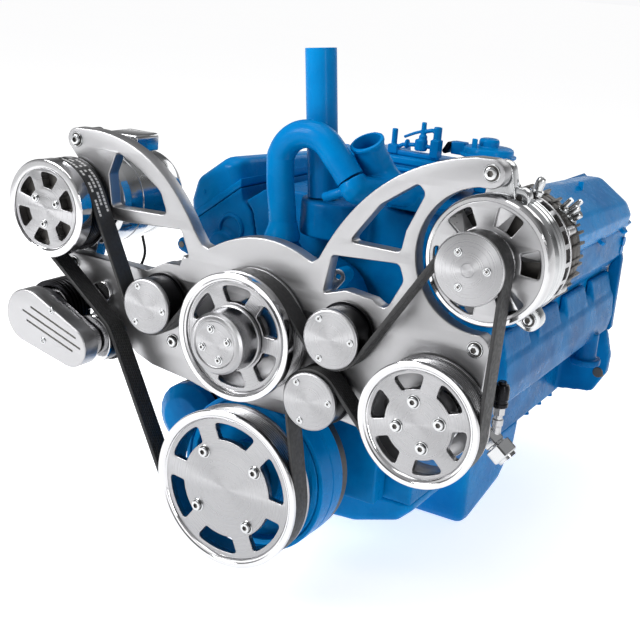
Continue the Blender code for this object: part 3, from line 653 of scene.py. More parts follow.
def ring_window(middle, half, inner, outer, fillet=4.0, taper=0.86, steps=6):
    """A curved slot between two radii, with rounded corners."""
    corners = []
    for k in range(steps + 1):
        a = math.radians(middle - half + 2 * half * k / steps)
        corners.append((outer * math.cos(a), outer * math.sin(a), fillet if k in (0, steps) else 0))
    near = half * taper
    for k in range(steps + 1):
        a = math.radians(middle + near - 2 * near * k / steps)
        corners.append((inner * math.cos(a), inner * math.sin(a),
            fillet * 0.7 if k in (0, steps) else 0))
    return rounded(corners, 5)


def windows(count, first, half, inner, outer, fillet=4.0, taper=0.86):
    middles = [first + 360 * i / count for i in range(count)]
    return [ring_window(middle, half, inner, outer, fillet, taper) for middle in middles]


def rib_profile(radius, half_width=BELT_WIDTH / 2, ribs=8, depth=2.0):
    """The grooved outside of a belt drum, from front to back."""
    pitch = 2 * half_width / ribs
    points = []
    for i in range(ribs):
        y = -half_width + pitch * i
        points += [(radius, y + 0.4), (radius, y + pitch * 0.3), (radius - depth, y + pitch * 0.55),
            (radius, y + pitch * 0.8)]
    return points


def drum(name, axis, groove, shell, front, back, flange, body, material=DRUM):
    """The part of a pulley under the belt, with a small rear flange."""
    profile = [(shell, front), (groove, front)] + rib_profile(groove)
    profile += [(groove, DRUM_END), (flange - 0.5, DRUM_END), (flange, DRUM_END + 0.5),
        (flange, back - 0.5), (flange - 0.5, back), (shell, back)]
    return spun(name, profile, axis, 128, material, body=body)


def drive_pulley(prefix, axis, rim, groove, front, slots, face_radius, hub, hub_back, body,
                 node_name, step=4.0):
    """A billet pulley: polished stepped rim, windowed face, grooved drum and hub."""
    face_front = front + step
    lip = DRUM_END
    face = slab(prefix + "_face", [circle((0, 0), face_radius, 128)] + slots, face_front,
        face_front + 8.5, axis, 0.9, 3)
    finished(face, FACE, node_name, body, angle=40)
    profile = [(face_radius - 0.6, face_front + 8), (face_radius - 0.6, face_front + 0.8),
        (face_radius + 0.6, face_front - 0.2), (face_radius + 1.6, front + step * 0.45),
        (face_radius + 3.6, front + step * 0.3), (face_radius + 4.6, front + 0.3),
        (face_radius + 5.4, front), (rim - 1.2, front), (rim - 0.3, front + 0.5), (rim, front + 1.4),
        (rim, -lip - 0.7), (rim - 0.6, -lip), (groove - 1, -lip), (groove - 4, -lip + 0.5),
        (groove - 8, -lip + 1)]
    spun(prefix + "_rim", profile, axis, 144, RIM, node_name, body)
    drum(prefix + "_drum", axis, groove, groove - 8, -lip + 0.4, 19, groove + 4, body)
    spun(prefix + "_hub", [(0, face_front + 8), (hub, face_front + 8), (hub - 1.5, hub_back),
        (0, hub_back)], axis, 64, FACE, body=body, angle=32, edge=0.8)


# Crankshaft pulley and damper.
drive_pulley("crank_pulley", CRANK, 101.7, 95.5, -20, windows(6, 24, 21, 63.5, 84.5, 5.0), 90.5, 34, 36,
    "crank", "crank_pulley")
screws("crank_pulley_screws", around(4, 53.0, 40, -16), 6.2, 4.5, "crank", washer=8.6)
spun("harmonic_damper_ring", [(26, 36.3), (43.5, 36.3), (44, 37), (44, 58), (87, 58), (88, 57),
    (88, 43), (89, 42), (95, 42), (96, 43), (96, 45), (98, 45), (98, 43), (99, 42), (103, 42),
    (104, 43), (104, 66), (103, 67), (103, 69), (104, 70), (104, 91), (103.4, 91.6), (88, 91.6),
    (88, 84), (26, 84)], CRANK, 144, BLUE, "harmonic_damper", "crank")
# A dark band at the damper's rear edge: painted shade where it meets the cover behind.
spun("harmonic_damper_shade_band", [(88, 92), (102.4, 92), (103, 92.6), (103, 104.4), (102.4, 105),
    (88, 105)], CRANK, 144, DARK, "harmonic_damper", "crank")

# Water pump pulley and its nose.
drive_pulley("water_pump_pulley", WATER_PUMP, 77.3, 71.0, -28, windows(6, 30, 20.5, 41.5, 61, 5.0, 0.8),
    66.0, 30, 22, "water_pump", "water_pump_pulley", 5.0)
spun("water_pump_nose", [(0, -60.5), (26.5, -60.5), (27.5, -61.2), (28.2, -62), (30, -62), (34, -60.5),
    (36.4, -57.5), (37, -54), (37, -30), (37.4, -29), (39, -28), (39, -24.4), (0, -24.4)], WATER_PUMP,
    128, FACE, "water_pump_cap", "water_pump")
screws("water_pump_nose_screws", around(4, 18.5, 20, -60.3), 3.6, 2.4, "water_pump", axis=WATER_PUMP,
    washer=5.4)

# Compressor clutch.
clutch_face = slab("compressor_clutch_disc", [circle((0, 0), 50.6, 96)] + windows(6, 22, 19, 27, 46,
    4.0, 0.75), -33.6, -22, COMPRESSOR, 0.6, 3)
finished(clutch_face, FACE, "compressor_clutch_face", "compressor_clutch", angle=40)
spun("compressor_clutch_rim", [(50.2, -22), (50.2, -31.6), (51.6, -31.6), (51.6, -33.8), (52.4, -34.6),
    (53.2, -35), (60.4, -35), (61.3, -34.6), (61.9, -33.6), (61.9, -16.4), (61.3, -15.6), (50, -15.6)],
    COMPRESSOR, 128, RIM, "compressor_clutch_face", "compressor_clutch")
spun("compressor_clutch_back", [(0, -21.8), (56, -21.8), (56, -16), (0, -16)], COMPRESSOR, 64, DARK,
    body="compressor_clutch", angle=32)
drum("compressor_clutch_drum", COMPRESSOR, 56.0, 24.0, -15.2, 19, 60.0, "compressor_clutch", BLACK)
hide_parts("compressor_clutch_pulley")
screws("compressor_clutch_screws", around(3, 19.5, 25, -33.6), 4.0, 2.8, "compressor_clutch",
    axis=COMPRESSOR, washer=5.4)

# Power steering pulley.
drive_pulley("steering_pulley", STEERING, 72.1, 66.0, -20, windows(6, -12, 19.5, 40.5, 57.5, 4.5, 0.8),
    61.5, 34, 22, "steering_pump", "steering_pump_pulley")
screws("steering_pulley_screws", around(4, 26.3, 16.6, -16), 5.8, 4.0, "steering_pump", axis=STEERING,
    washer=8.0)


def idler(label, axis, first):
    """A smooth black idler with a turned, polished cap held by three screws."""
    body = "idler_" + label
    spun("idler_cap_%s_disc" % label, [(0, -20.8), (0.8, -21.1), (32.4, -19.9), (33.6, -19.4),
        (34.6, -18.4), (35, -17.2), (35, -15), (34.4, -14.3), (0, -14.3)], axis, 96, FACE,
        "idler_cap_" + label, body, angle=20)
    screws("idler_cap_%s_screws" % label, around(3, 26.4, first, -20.0), 3.0, 1.4, body, axis=axis,
        washer=4.2)
    spun("idler_wheel_" + label, [(12, -14), (33, -14), (33, -13.4), (33, 10.6), (32.3, 11),
        (32.3, 12.4), (33, 12.8), (33, 14.4), (35.5, 14.4), (36, 14.9), (36, 17), (35.5, 17.5),
        (12, 17.5)], axis, 96, BLACK, "idler_pulley_" + label, body)


for label, first in (("left", -3), ("middle", 5), ("lower", 10)):
    idler(label, IDLERS[label], first)

# Tensioner.
wheel_offset = (TENSIONER[0] - TENSIONER_PIVOT[0], TENSIONER[1] - TENSIONER_PIVOT[1])
cover = slab("tensioner_cover_shell", [capsule((0, 0), 35, wheel_offset, 27, 40)], -56, -31.3,
    TENSIONER_PIVOT, 1.8, 3)
groove_shade_floors = []
for near, far in (((7.7, 13.8), (82.2, -10.2)), ((-6.0, 7.0), (90.0, -22.6)), ((0.8, -5.1), (77.5, -28.5))):
    groove = prism("tensioner_groove", capsule(near, 1.31, far, 1.3, 8), -58, -54.6, TENSIONER_PIVOT)
    boolean(cover, "DIFFERENCE", groove)
    # A dark floor in each groove: painted shade.
    groove_shade_floors.append(prism("groove_shade_floor", capsule(near, 1.16, far, 1.15, 8), -54.9, -54.4,
        TENSIONER_PIVOT))
finished(cover, PLATE, "tensioner_cover", "tensioner_arm", angle=40)
finished(joined("tensioner_groove_shade_floors", groove_shade_floors), DARK, body="tensioner_arm")
screws("tensioner_cover_screws", [(42.8, -56, 16.2), (28.4, -56, -26.0)], 2.7, 1.6, "tensioner_arm",
    axis=TENSIONER_PIVOT, washer=4.4)
arm = slab("tensioner_arm_plate", [capsule((0, 0), 30, wheel_offset, 20, 32)], -31, -17,
    TENSIONER_PIVOT, 1.2, 2)
finished(arm, FACE, "tensioner_arm", "tensioner_arm", angle=40)
spun("tensioner_wheel_flange", [(10, -14), (27.6, -15.2), (30.2, -15.2), (31, -14.4), (31, -11.6),
    (30.4, -11), (10, -11)], TENSIONER, 96, RIM, "tensioner_pulley", "tensioner_wheel")
spun("tensioner_wheel", [(10, -10.8), (31, -10.8), (31, 14.4), (33.5, 14.4), (34, 14.9), (34, 16),
    (33.5, 16.5), (10, 16.5)], TENSIONER, 96, BLACK, "tensioner_pulley", "tensioner_wheel")
spun("tensioner_axle_pin", [(0, -20), (9.7, -20), (9.7, 17.6), (13, 17.2), (13, 19), (0, 19)],
    TENSIONER, 48, STEEL, body="tensioner_arm", angle=32, edge=0.5)
cup = [(0, -11), (7.2, -12), (8, -11), (8, 10), (31, 10), (31, -11.4), (31.6, -12), (37.4, -12),
    (38, -11.4)]
for ring in range(5):
    y = -9 + 6 * ring
    cup += [(38, y), (36.4, y + 0.5), (36.4, y + 2.4), (38, y + 2.9)]
cup += [(38, 21.2), (37.5, 21.7), (0, 21.7)]
spun("tensioner_cup", cup, TENSIONER_PIVOT, 96, BLACK, "tensioner_base")
lug_reach = (-232 - TENSIONER_PIVOT[0], 196 - TENSIONER_PIVOT[1])
finished(slab("tensioner_lug_bar", [capsule((26, 10), 14, lug_reach, 14, 20)], 17.0, 21.7,
    TENSIONER_PIVOT, 1.4, 3), RIM, angle=40)

# Belt.
BELT_STOPS = [(CRANK, 95.5, 1), (TENSIONER, 31.0, -1), (COMPRESSOR, 56.0, 1),
    (IDLERS["left"], 33.0, -1), (WATER_PUMP, 71.0, 1), (IDLERS["middle"], 33.0, -1),
    (ALTERNATOR, 33.0, 1), (STEERING, 66.0, 1), (IDLERS["lower"], 33.0, -1)]


def belt_runs():
    """The belt's middle line: for each pulley its wrap, then the straight run to the next."""
    half = BELT_THICKNESS / 2 + GAP * 0.5
    headings = []
    for here, there in zip(BELT_STOPS, BELT_STOPS[1:] + BELT_STOPS[:1]):
        dx, dz = there[0][0] - here[0][0], there[0][1] - here[0][1]
        offset = here[2] * (here[1] + half) - there[2] * (there[1] + half)
        headings.append(math.atan2(dz, dx) - math.asin(offset / math.hypot(dx, dz)))
    wraps = []
    for i, (centre, radius, sense) in enumerate(BELT_STOPS):
        start = headings[i - 1] + sense * math.pi / 2
        turn = ((headings[i - 1] - headings[i]) * sense) % (2 * math.pi)
        steps = max(4, round(math.degrees(turn) / 4))
        reach = radius + half
        wraps.append([(centre[0] + reach * math.cos(start - sense * turn * k / steps),
            centre[1] + reach * math.sin(start - sense * turn * k / steps)) for k in range(steps + 1)])
    runs = []
    for i, wrap in enumerate(wraps):
        a, b = Vector(wrap[-1]), Vector(wraps[(i + 1) % len(wraps)][0])
        count = max(2, round((b - a).length / 12))
        runs.append(("wrap", i, wrap))
        runs.append(("run", i, [tuple(a.lerp(b, k / count)) for k in range(count + 1)]))
    return runs


def belt_section():
    """Across the belt: (y, out) points, smooth back outside, eight ribs inside."""
    half, thick = BELT_WIDTH / 2, BELT_THICKNESS / 2
    points = [(-half, thick - 0.7), (-half + 0.5, thick - 0.1), (-half + 1.2, thick),
        (half - 1.2, thick), (half - 0.5, thick - 0.1), (half, thick - 0.7), (half, -thick + 2.2)]
    pitch = BELT_WIDTH / 8
    for i in range(8):
        y = half - pitch * i
        points += [(y - 0.45, -thick), (y - pitch + 0.95, -thick), (y - pitch + 0.25, -thick + 2.0)]
    points[-1] = (-half, -thick + 2.2)
    return points


def belt_piece(name, pieces, start_length):
    """One length of belt from a list of points; its UVs hold distance along and across, in metres."""
    path = [Vector(pieces[0])]
    for p in pieces[1:]:
        if (Vector(p) - path[-1]).length > 0.01:
            path.append(Vector(p))
    section = belt_section()
    bm = bmesh.new()
    layer = bm.loops.layers.uv.new("run")
    rings, lengths = [], [start_length]
    for i, point in enumerate(path):
        ahead = (path[min(i + 1, len(path) - 1)] - point)
        behind = (point - path[max(i - 1, 0)])
        along = (ahead.normalized() + behind.normalized()).normalized()
        out = Vector((-along.y, along.x))
        rings.append([bm.verts.new((point.x + out.x * t, y, point.y + out.y * t)) for y, t in section])
        if i:
            lengths.append(lengths[-1] + behind.length * MM)
    count = len(section)
    for i in range(len(rings) - 1):
        for k in range(count):
            m = (k + 1) % count
            face = bm.faces.new((rings[i][k], rings[i][m], rings[i + 1][m], rings[i + 1][k]))
            back = k == 2
            for loop, (u, v) in zip(face.loops, (
                    (lengths[i], section[k][0]), (lengths[i], section[m][0]),
                    (lengths[i + 1], section[m][0]), (lengths[i + 1], section[k][0]))):
                loop[layer].uv = (u if back else u + 50.0, v * MM)
    bm.faces.new(rings[0])
    bm.faces.new(rings[-1][::-1])
    return raw(name, bm, CRANK), lengths[-1]


belt = belt_runs()
total = 0.0
groups = [("belt_run_to_tensioner", [1], None), ("belt_round_tensioner", [2], "tensioner_arm"),
    ("belt_run_from_tensioner", [3], None), ("belt_main_loop", list(range(4, len(belt))) + [0], "root")]
for name, members, body in groups:
    points = []
    for m in members:
        points += belt[m][2]
    item, total = belt_piece(name, points, total)
    smooth_by_angle(item.data, 50)
    item.data.materials.append(RUBBER)
    if body:
        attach(item, body)
    else:
        item.data.transform(Matrix.Translation(item.location))
        item.location = (0, 0, 0)
        ends = [world(points[0][0], 0, points[0][1]), world(points[-1][0], 0, points[-1][1])]
        if members == [3]:
            ends = ends[::-1]
        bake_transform(item)
    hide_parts("serpentine_belt")


# ---------------------------------------------------------------- bracket plate

def plate_outline():
    """The bracket plate's outer edge, anticlockwise from the upper left ear."""
    left_ear = arc((-282, 386), 15, 90, 215, 14)
    inner_left = rounded([(-250, 330, 4), (-242, 293, 3), (-200, 293, 0), (-112, 299, 5),
        (-96, 262, 5)])
    idler_lobe = [(-112, 254), (-134, 253), (-162, 238)]
    lower_ear = arc((-285, 224), 15, 75, 245, 16)
    bottom_left = [(-176, 124), (-150, 115), (-88, 108), (-57, 101), (52, 101)]
    lower_lobe = arc(IDLERS["lower"], 31, 245, 290, 8)
    steering_lobe = arc(STEERING, 52, 245, 360, 20)
    right_ear = arc((285, 239), 17, -30, 80, 12)
    alternator_arc = arc(ALTERNATOR, 79, 270, 100, 44)
    upper_ear = arc((279, 427), 15.5, -80, 100, 18)
    right_arm = curve((262, 442), (146, 424), (89, 311), 24)
    hump = [(84, 301), (76, 295)] + curve((68, 297), (4, 327), (-62, 288), 20) + [(-70, 283),
        (-80, 286)]
    left_arm = curve((-92, 302), (-150, 397), (-250, 402), 24)
    return (left_ear + inner_left + idler_lobe + lower_ear + bottom_left + lower_lobe + steering_lobe
            + right_ear + alternator_arc + upper_ear + right_arm + hump + left_arm)


PLATE_WINDOWS = [rounded([(-222, 309, 6), (-134, 313, 6), (-146, 341, 20), (-178, 362, 0),
    (-216, 380, 8), (-228, 350, 10)], 8), rounded([(121, 327, 5), (186, 327, 8), (190, 352, 0),
    (209, 396, 8), (199, 405, 6), (156, 375, 20)], 8), rounded([(101, 308, 6), (186, 314, 8),
    (193, 296, 10), (174, 257, 12), (157, 267, 0), (122, 271, 10), (93, 261, 4)], 8)]
plate_body = slab("bracket_plate_body", [plate_outline(), circle(WATER_PUMP, 36),
    circle(STEERING, 34)] + PLATE_WINDOWS, PLATE_FRONT, PLATE_BACK, CRANK, 1.3, 2)
finished(plate_body, PLATE, "bracket_plate", angle=40)
PLATE_SCREWS = [(-282, 386), (280, 428), (285, 239), (-118, 154), (-285, 224)]
screws("plate_screws", [(x, PLATE_FRONT, z) for x, z in PLATE_SCREWS], 6.6, 4.5, "root", washer=9.6)


# A round spacer, with a turned waist, between the plate and each boss behind it.
for label, place in (("left", (-118, 154)), ("right", (180, 232)), ("upper", (-176, 223))):
    low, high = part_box("standoff_" + label)
    front, back = (low[1] - BELT_Y_M) / MM, (high[1] - BELT_Y_M) / MM
    spun("spacer_" + label, [(0, front), (10.4, front), (11, front + 0.6), (11, front + 12),
        (9.5, front + 14), (9.5, back - 14), (11, back - 12), (11, back - 0.6), (10.4, back),
        (0, back)], place, 48, FACE, "standoff_" + label)
for label, axis in IDLERS.items():
    spun("spindle_" + label, [(0, -12), (11, -12), (11.7, -11.3), (11.7, 17.8), (17, 17.8), (18, 18.6),
        (18, 21.2), (17.5, 21.7), (0, 21.7)], axis, 64, STEEL, "idler_spindle_" + label)


# ---------------------------------------------------------------- alternator

spun("alternator_cap_disc", [(0, -20.4), (7.0, -20.4), (7.3, -20.1), (7.6, -20.4), (35.6, -18.6),
    (37.4, -18.3), (38.6, -17.3), (39, -15.8), (38.5, -15), (0, -15)], ALTERNATOR, 112, FACE,
    "alternator_cap", "alternator", angle=20)
screws("alternator_cap_screws", around(3, 21, 7, -19.4), 3.0, 1.3, "alternator", axis=ALTERNATOR,
    washer=4.6)
drum("alternator_drum", ALTERNATOR, 33.0, 12.0, -14.7, 18, 37.0, "alternator", STEEL)
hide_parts("alternator_pulley")
fan_slots = windows(6, 8, 15, 39, 60.5, 3.5, 1.1)
fan = slab("alternator_fan_disc", [circle((0, 0), 64.6, 112), circle((0, 0), 10.5, 40)] + fan_slots, 27,
    30, ALTERNATOR, 0.9, 3)
finished(fan, PLATE, "alternator_fan", "alternator", angle=40)
spun("alternator_fan_ring", [(63, 33), (63, 29), (64.2, 27), (65, 26), (68.5, 26.4), (70, 28), (71, 31),
    (71, 41), (70, 42), (66, 42), (65, 41), (65, 33)], ALTERNATOR, 128, RIM, "alternator_fan",
    "alternator")


def blade_outline(angle):
    """One end of a fan blade: its corners' radii and their angles past the given one."""
    corners = ((36, 0), (63, 0), (63, 0.03), (36, 0.05))
    return [(r * math.cos(angle + past), r * math.sin(angle + past)) for r, past in corners]


def ray_bar(angle, inner, outer, half):
    """The outline of a bar that points away from the axis."""
    ray, across = (math.cos(angle), math.sin(angle)), (-math.sin(angle) * half, math.cos(angle) * half)
    corners = ((inner, -1), (outer, -1), (outer, 1), (inner, 1))
    return [(ray[0] * r + t * across[0], ray[1] * r + t * across[1]) for r, t in corners]


# Fan blades lean back from front to rear; angles in degrees.
FAN_FIRST, FAN_LEAN = 8, 14
blades = []
for number in range(6):
    a = math.radians(FAN_FIRST + 360 * number / 6 + FAN_LEAN)
    far = blade_outline(a - math.radians(FAN_LEAN))
    blades.append(prism("blade", blade_outline(a), 29.5, 41.5, ALTERNATOR, far))
finished(joined("alternator_fan_blades", blades), CAST_ALLOY, body="alternator")
spun("alternator_case_rings", [(54, 78), (54, 50), (58, 47.6), (62, 48), (65, 50.2), (69.2, 54.8),
    (70, 56.5), (70, 62), (68.8, 62.6), (68.8, 64.6), (70, 65.2), (70, 72), (68.8, 72.6), (68.8, 74.4),
    (70, 75), (70, 77.4), (69.4, 78)], ALTERNATOR, 144, CHROME, "alternator_front_case")
# A dark dish behind the fan: painted shade seen through the fan's windows.
spun("alternator_case_shade_dish", [(22, 46), (52, 48.4), (53.8, 50), (53.8, 62), (22, 62)], ALTERNATOR, 96,
    DARK, "alternator_front_case")
for label, near, far, radii, hole, y0 in (
        ("top", (-1, 62), (-3, 92), (18, 13), 5.2, 47), ("low", (29, -42), (48, -57), (18, 13), 4.0, 47),
        ("side", (9, 48), (19, 68), (15, 11), 3.2, 50)):
    lug = slab("alternator_lug_" + label, [capsule(near, radii[0], far, radii[1], 20),
        circle(far, hole, 32)], y0, 64, ALTERNATOR, 1.4, 2)
    finished(lug, CHROME, "alternator_front_case", angle=40)
# Dark plugs in the lug holes: painted shade.
hole_shades = []
for x, z, radius, front in ((19, 68, 3.3, 52.5), (48, -57, 6.8, 49)):
    section = [(0, front), (radius, front), (radius, 63.6), (0, 63.6)]
    hole_shades.append(turned("hole", section, (ALTERNATOR[0] + x, ALTERNATOR[1] + z), 24))
finished(joined("alternator_lug_hole_shades", hole_shades), DARK)
screws("alternator_lug_screws", [(48, 47, -57)], 5.4, 3.4, "root", axis=ALTERNATOR, washer=8.4)
laminations = [(54, 78.3), (66, 78.3)]
y = 79.0
while y < 111.5:
    laminations += [(67, y + 0.3), (67, y + 1.5), (65.4, y + 1.7), (65.4, y + 2.4)]
    y += 2.7
laminations += [(66, 112), (54, 112)]
spun("alternator_laminations", laminations, ALTERNATOR, 112, STATOR, "alternator_stator", angle=20)
bars = []
for number in range(22):
    outline = ray_bar(math.radians(360 * number / 22), 65, 69.4, 2.6)
    bars.append(prism("bar", outline, 77.4, 93.4, ALTERNATOR))
bars.append(turned("bar_ring", [(66, 92.6), (69.4, 92.6), (70, 93.2), (70, 95.8), (69.4, 96.4),
    (66, 96.4)], ALTERNATOR, 112))
finished(joined("alternator_vent_bars", bars), CAST_ALLOY)
spun("alternator_rear_shell", [(54, 112.3), (66, 112.3), (67, 113.3), (67, 120), (65.6, 121),
    (65.6, 123), (67, 124), (67, 133), (65, 137), (60, 144), (56, 149.4), (54, 150), (0, 150), (0, 144),
    (44, 144), (54, 134)], ALTERNATOR, 128, DARK, "alternator_rear_case")
fins = []
for number in range(36):
    a = math.radians(10 * number + (3 if number % 3 else 0))
    outline = ray_bar(a, 58, 68.5 + (number * 7 % 5) * 0.5, 1.5)
    fins.append(prism("fin", outline, 99 + (number * 5 % 4) * 3, 142, ALTERNATOR))
finished(joined("alternator_rear_fins", fins), DARK, edge=0.5)
ears = []
for a in (28, 100, 158, 250, 330):
    x, z = 66 * math.cos(math.radians(a)), 66 * math.sin(math.radians(a))
    ears.append(turned("ear", [(0, 96), (4.6, 96), (5.6, 97), (5.6, 117), (4.6, 118), (0, 118)],
        (ALTERNATOR[0] + x, ALTERNATOR[1] + z), 28))
finished(joined("alternator_through_bolts", ears), CAST_ALLOY)
studs = []
for y, angle, reach, radius in (
        (118, 50, 17, 3.2), (126, 43, 15, 4.0), (136, 46, 18, 3.2), (130, 38, 12, 4.6)):
    profile = [(0, 58), (radius * 1.6, 58), (radius * 1.6, 68), (radius, 68.5), (radius, 66 + reach),
        (radius * 0.8, 67 + reach), (0, 67 + reach)]
    studs.append(turned("stud", profile, ALTERNATOR, 24, facing(angle), (0, y, 0)))
dome = [(0, 62), (8, 62), (8, 74), (5.4, 75), (5.4, 84), (4.4, 87.4), (2.4, 89), (0, 89.4)]
studs.append(turned("dome", dome, ALTERNATOR, 32, facing(74), (0, 100, 0)))
finished(joined("alternator_studs", studs), CHROME)


# ---------------------------------------------------------------- compressor

spun("compressor_barrel", [(0, -12), (19.5, -12), (19.5, 19.5), (33, 19.5), (34, 20.5), (34, 43),
    (36, 44.4), (56, 49), (58, 50.4), (59.6, 60), (60, 62), (60, 82), (58.8, 82.6), (58.8, 85.4),
    (60, 86), (60, 107), (58.6, 109), (57, 111), (57, 138), (58.6, 139), (58.6, 145), (57, 146),
    (57, 166), (56, 170), (51, 179), (49, 180), (0, 180)], COMPRESSOR, 128, CHROME, "compressor_body")
for label, near, far in (("top", (0, 36), (0, 82)), ("low", (0, -36), (-3, -80))):
    lug = slab("compressor_lug_" + label, [capsule(near, 20, far, 13, 20), circle(far, 5.0, 32)], 46,
        66, COMPRESSOR, 1.5, 2)
    finished(lug, CHROME, "compressor_body", angle=40)
screws("compressor_case_screws", around(6, 53.5, 25, 108.6), 4.6, 5.0, "root", axis=COMPRESSOR)
port = slab("compressor_ports", [rounded([(-24, 60.4, 3), (30, 60.4, 3), (30, 84, 6), (-24, 84, 6)])],
    104, 150, COMPRESSOR, 2.0, 3)
finished(port, CHROME, "compressor_port_block", angle=40)
lead = smooth_path([(-222, 84, 262), (-214, 80, 240), (-216, 70, 220), (-226, 58, 212), (-238, 50, 218),
    (-244, 46, 232), (-242, 46, 248)], 7)
finished(swept("compressor_lead", lead, 1.8, 14), RUBBER, "compressor_coil_lead")
spun("compressor_coil", [(34.6, 22), (52, 22), (53, 23), (53, 40), (52, 41), (34.6, 41)], COMPRESSOR,
    96, BLACK)


# ---------------------------------------------------------------- steering pump

spun("steering_pump_can", [(10, 44), (25.4, 44), (26, 44.6), (28, 46), (35, 49), (36.6, 50.4), (38, 54),
    (38, 70), (37, 71), (37, 74), (38, 75), (38, 103), (37, 104), (25, 107.6), (24, 109), (24, 125.4),
    (23.4, 126), (0, 126), (0, 72), (10, 72)], STEERING, 112, CHROME, "steering_pump_body")
spun("steering_pump_port", [(0, 30), (8, 30), (8, 40), (hexagon(18), 40.4), (hexagon(18), 47),
    (6, 47.4), (6, 52), (0, 52)], STEERING, 48, CHROME, "steering_pump_body", turn=facing(53),
    at=(0, 82, 0))
spun("steering_pump_union", [(0, 38.3), (9, 38.3), (9, 52), (hexagon(22), 53), (hexagon(24.4), 54.2),
    (hexagon(24.4), 66.6), (hexagon(23), 67.4), (11, 67.6), (11, 69), (hexagon(29), 69.4),
    (hexagon(31), 70.6), (hexagon(31), 84.6), (hexagon(29), 86), (12, 86.4), (11.4, 90), (7, 90),
    (7, 84), (0, 84)], STEERING, 48, CHROME, "steering_pump_fitting", turn=facing(-38), at=(0, 88, 0))
spun("pressure_switch_adapter", [(0, 124), (5.4, 124), (5.4, 134), (6.5, 135), (6.5, 142), (5, 143),
    (5, 147), (hexagon(12.6), 148), (hexagon(12.6), 157), (0, 157)], CRANK, 48, CAST_ALLOY,
    "steering_pump_fitting", turn=UPRIGHT, at=(297, 88, 0))
spun("pressure_switch_plug", [(0, 157.3), (8.6, 157.3), (9.5, 158.4), (9.5, 162), (8.8, 163),
    (8.8, 166), (9.5, 167), (9.5, 180), (8, 184), (5, 185), (5, 187.4), (4.4, 188), (0, 188)], CRANK,
    48, BLACK, "steering_pump_fitting", turn=UPRIGHT, at=(297, 88, 0))


# ---------------------------------------------------------------- blue castings

def casting(name, items, material, node_name, voxel, rounds):
    finished(cast(joined(name, items), voxel, rounds), material, node_name, angle=50)


def cast_copy(name, node_name, voxel, rounds, material=CAST_BLUE):
    """A CAD node's shape as one casting."""
    casting(name, [cad_copy(node_name)], material, node_name, voxel, rounds)


def cover_outline(side, lower, inset):
    """A valve cover's rounded section: lower drops its crown, inset draws it in at the ends."""
    i = inset
    shrink = 1 - i / 20
    outline = rounded([(241 - i, 258.4 + 0.75 * i, 2 * shrink), (247 - i, 267 + 0.5 * i, 3 * shrink),
        (249.5 - i, 289 - lower * 0.3, 10 * shrink),
        (239.5 - i * 0.8, 323 - lower * 0.9 - i * 0.5, 22 * shrink),
        (192.5 - i * 0.3, 358.5 - lower - i, 18 * shrink), (166 + i, 358 - lower - i, 12 * shrink),
        (157 + i, 322.4 - 0.75 * i, 1.5 * shrink)], 7)
    return outline if side > 0 else mirrored(outline)


def valve_cover(side):
    label = "right" if side > 0 else "left"
    y0, y1, drop = HEAD_FRONT + 3, HEAD_REAR - 3, 26.0
    rings = []
    for y, inset in ((y0, 15), (y0 + 2, 10), (y0 + 6, 5.5), (y0 + 12, 2.2), (y0 + 20, 0.5), (y0 + 30, 0),
                     (y1 - 30, 0), (y1 - 20, 0.5), (y1 - 12, 2.2), (y1 - 6, 5.5), (y1 - 2, 10), (y1, 15)):
        rings.append((y, cover_outline(side, drop * (y - y0) / (y1 - y0), inset)))
    finished(skin("valve_cover_shell_" + label, rings), BLUE, "valve_cover_" + label, angle=50)
    rail = [(241.5, 258.2), (247.5, 266.4), (158, 333.4), (156.4, 322.6)]
    finished(prism("valve_cover_rail_" + label, rail if side > 0 else mirrored(rail), HEAD_FRONT + 1,
        HEAD_REAR - 1), BLUE, edge=1.6, segments=3)
    tab = box("cover_tab", (side * 202 - 4, 583, 320), (side * 202 + 4, 586, 343))
    finished(tab, BLUE, edge=0.8)
    studs = [(side * 247, y0 + 34 + 112 * number, 261) for number in range(5)]
    hex_bolts("cover_rail_bolts_" + label, studs, 11, 6, facing(90 - 35 * side))
    hex_bolts("head_end_bolts_" + label, [(side * 241, 724, 222), (side * 243, 724, 236)], 12, 7,
        facing(90 - 90 * side))


for side in (1, -1):
    valve_cover(side)
for label in ("right", "left"):
    cast_copy("head_casting_" + label, "cylinder_head_" + label, 2.6, 5)
cast_copy("block_casting", "engine_block", 3.0, 4)
cast_copy("intake_casting", "intake_manifold", 2.4, 6)
cast_copy("pan_pressing", "oil_pan", 2.4, 12, BLUE)
cast_copy("front_cover_casting", "timing_cover", 2.0, 16)
cast_copy("fuel_pump_casting", "fuel_pump", 1.6, 8)
cast_copy("pump_casting", "water_pump_housing", 1.8, 10)
for label in ("left", "right"):
    cast_copy("exhaust_casting_" + label, "exhaust_manifold_" + label, 2.0, 7)

# Finned plenum and the small fittings on it.
low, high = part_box("finned_plenum")
px0, px1 = low[0] / MM, high[0] / MM
py0, py1 = (low[1] - BELT_Y_M) / MM, (high[1] - BELT_Y_M) / MM
pz0, pz1 = low[2] / MM, high[2] / MM
plenum_parts = [box("plenum_core", (px0 + 6, py0 + 6, pz0), (px1 - 6, py1 - 6, pz1 - 2))]
for level in range(4):
    z = pz0 + 5 + level * 10
    plenum_parts.append(box("plenum_fin", (px0, py0, z), (px1, py1, z + 5.2)))
plenum_parts.append(box("plenum_lid", (px0, py0, pz1 - 6), (px1, py1, pz1)))
plenum = plenum_parts[0]
for part in plenum_parts[1:]:
    boolean(plenum, "UNION", part)
plenum.name = "plenum_fins"
finished(plenum, BLUE, "finned_plenum", edge=1.4, segments=3)
corners = [(x, y, pz1 - 5.4) for x in (px0 + 12, px1 - 12) for y in (py0 + 12, py1 - 12)]
hex_bolts("plenum_bolts", corners, 10, 5, UPRIGHT)

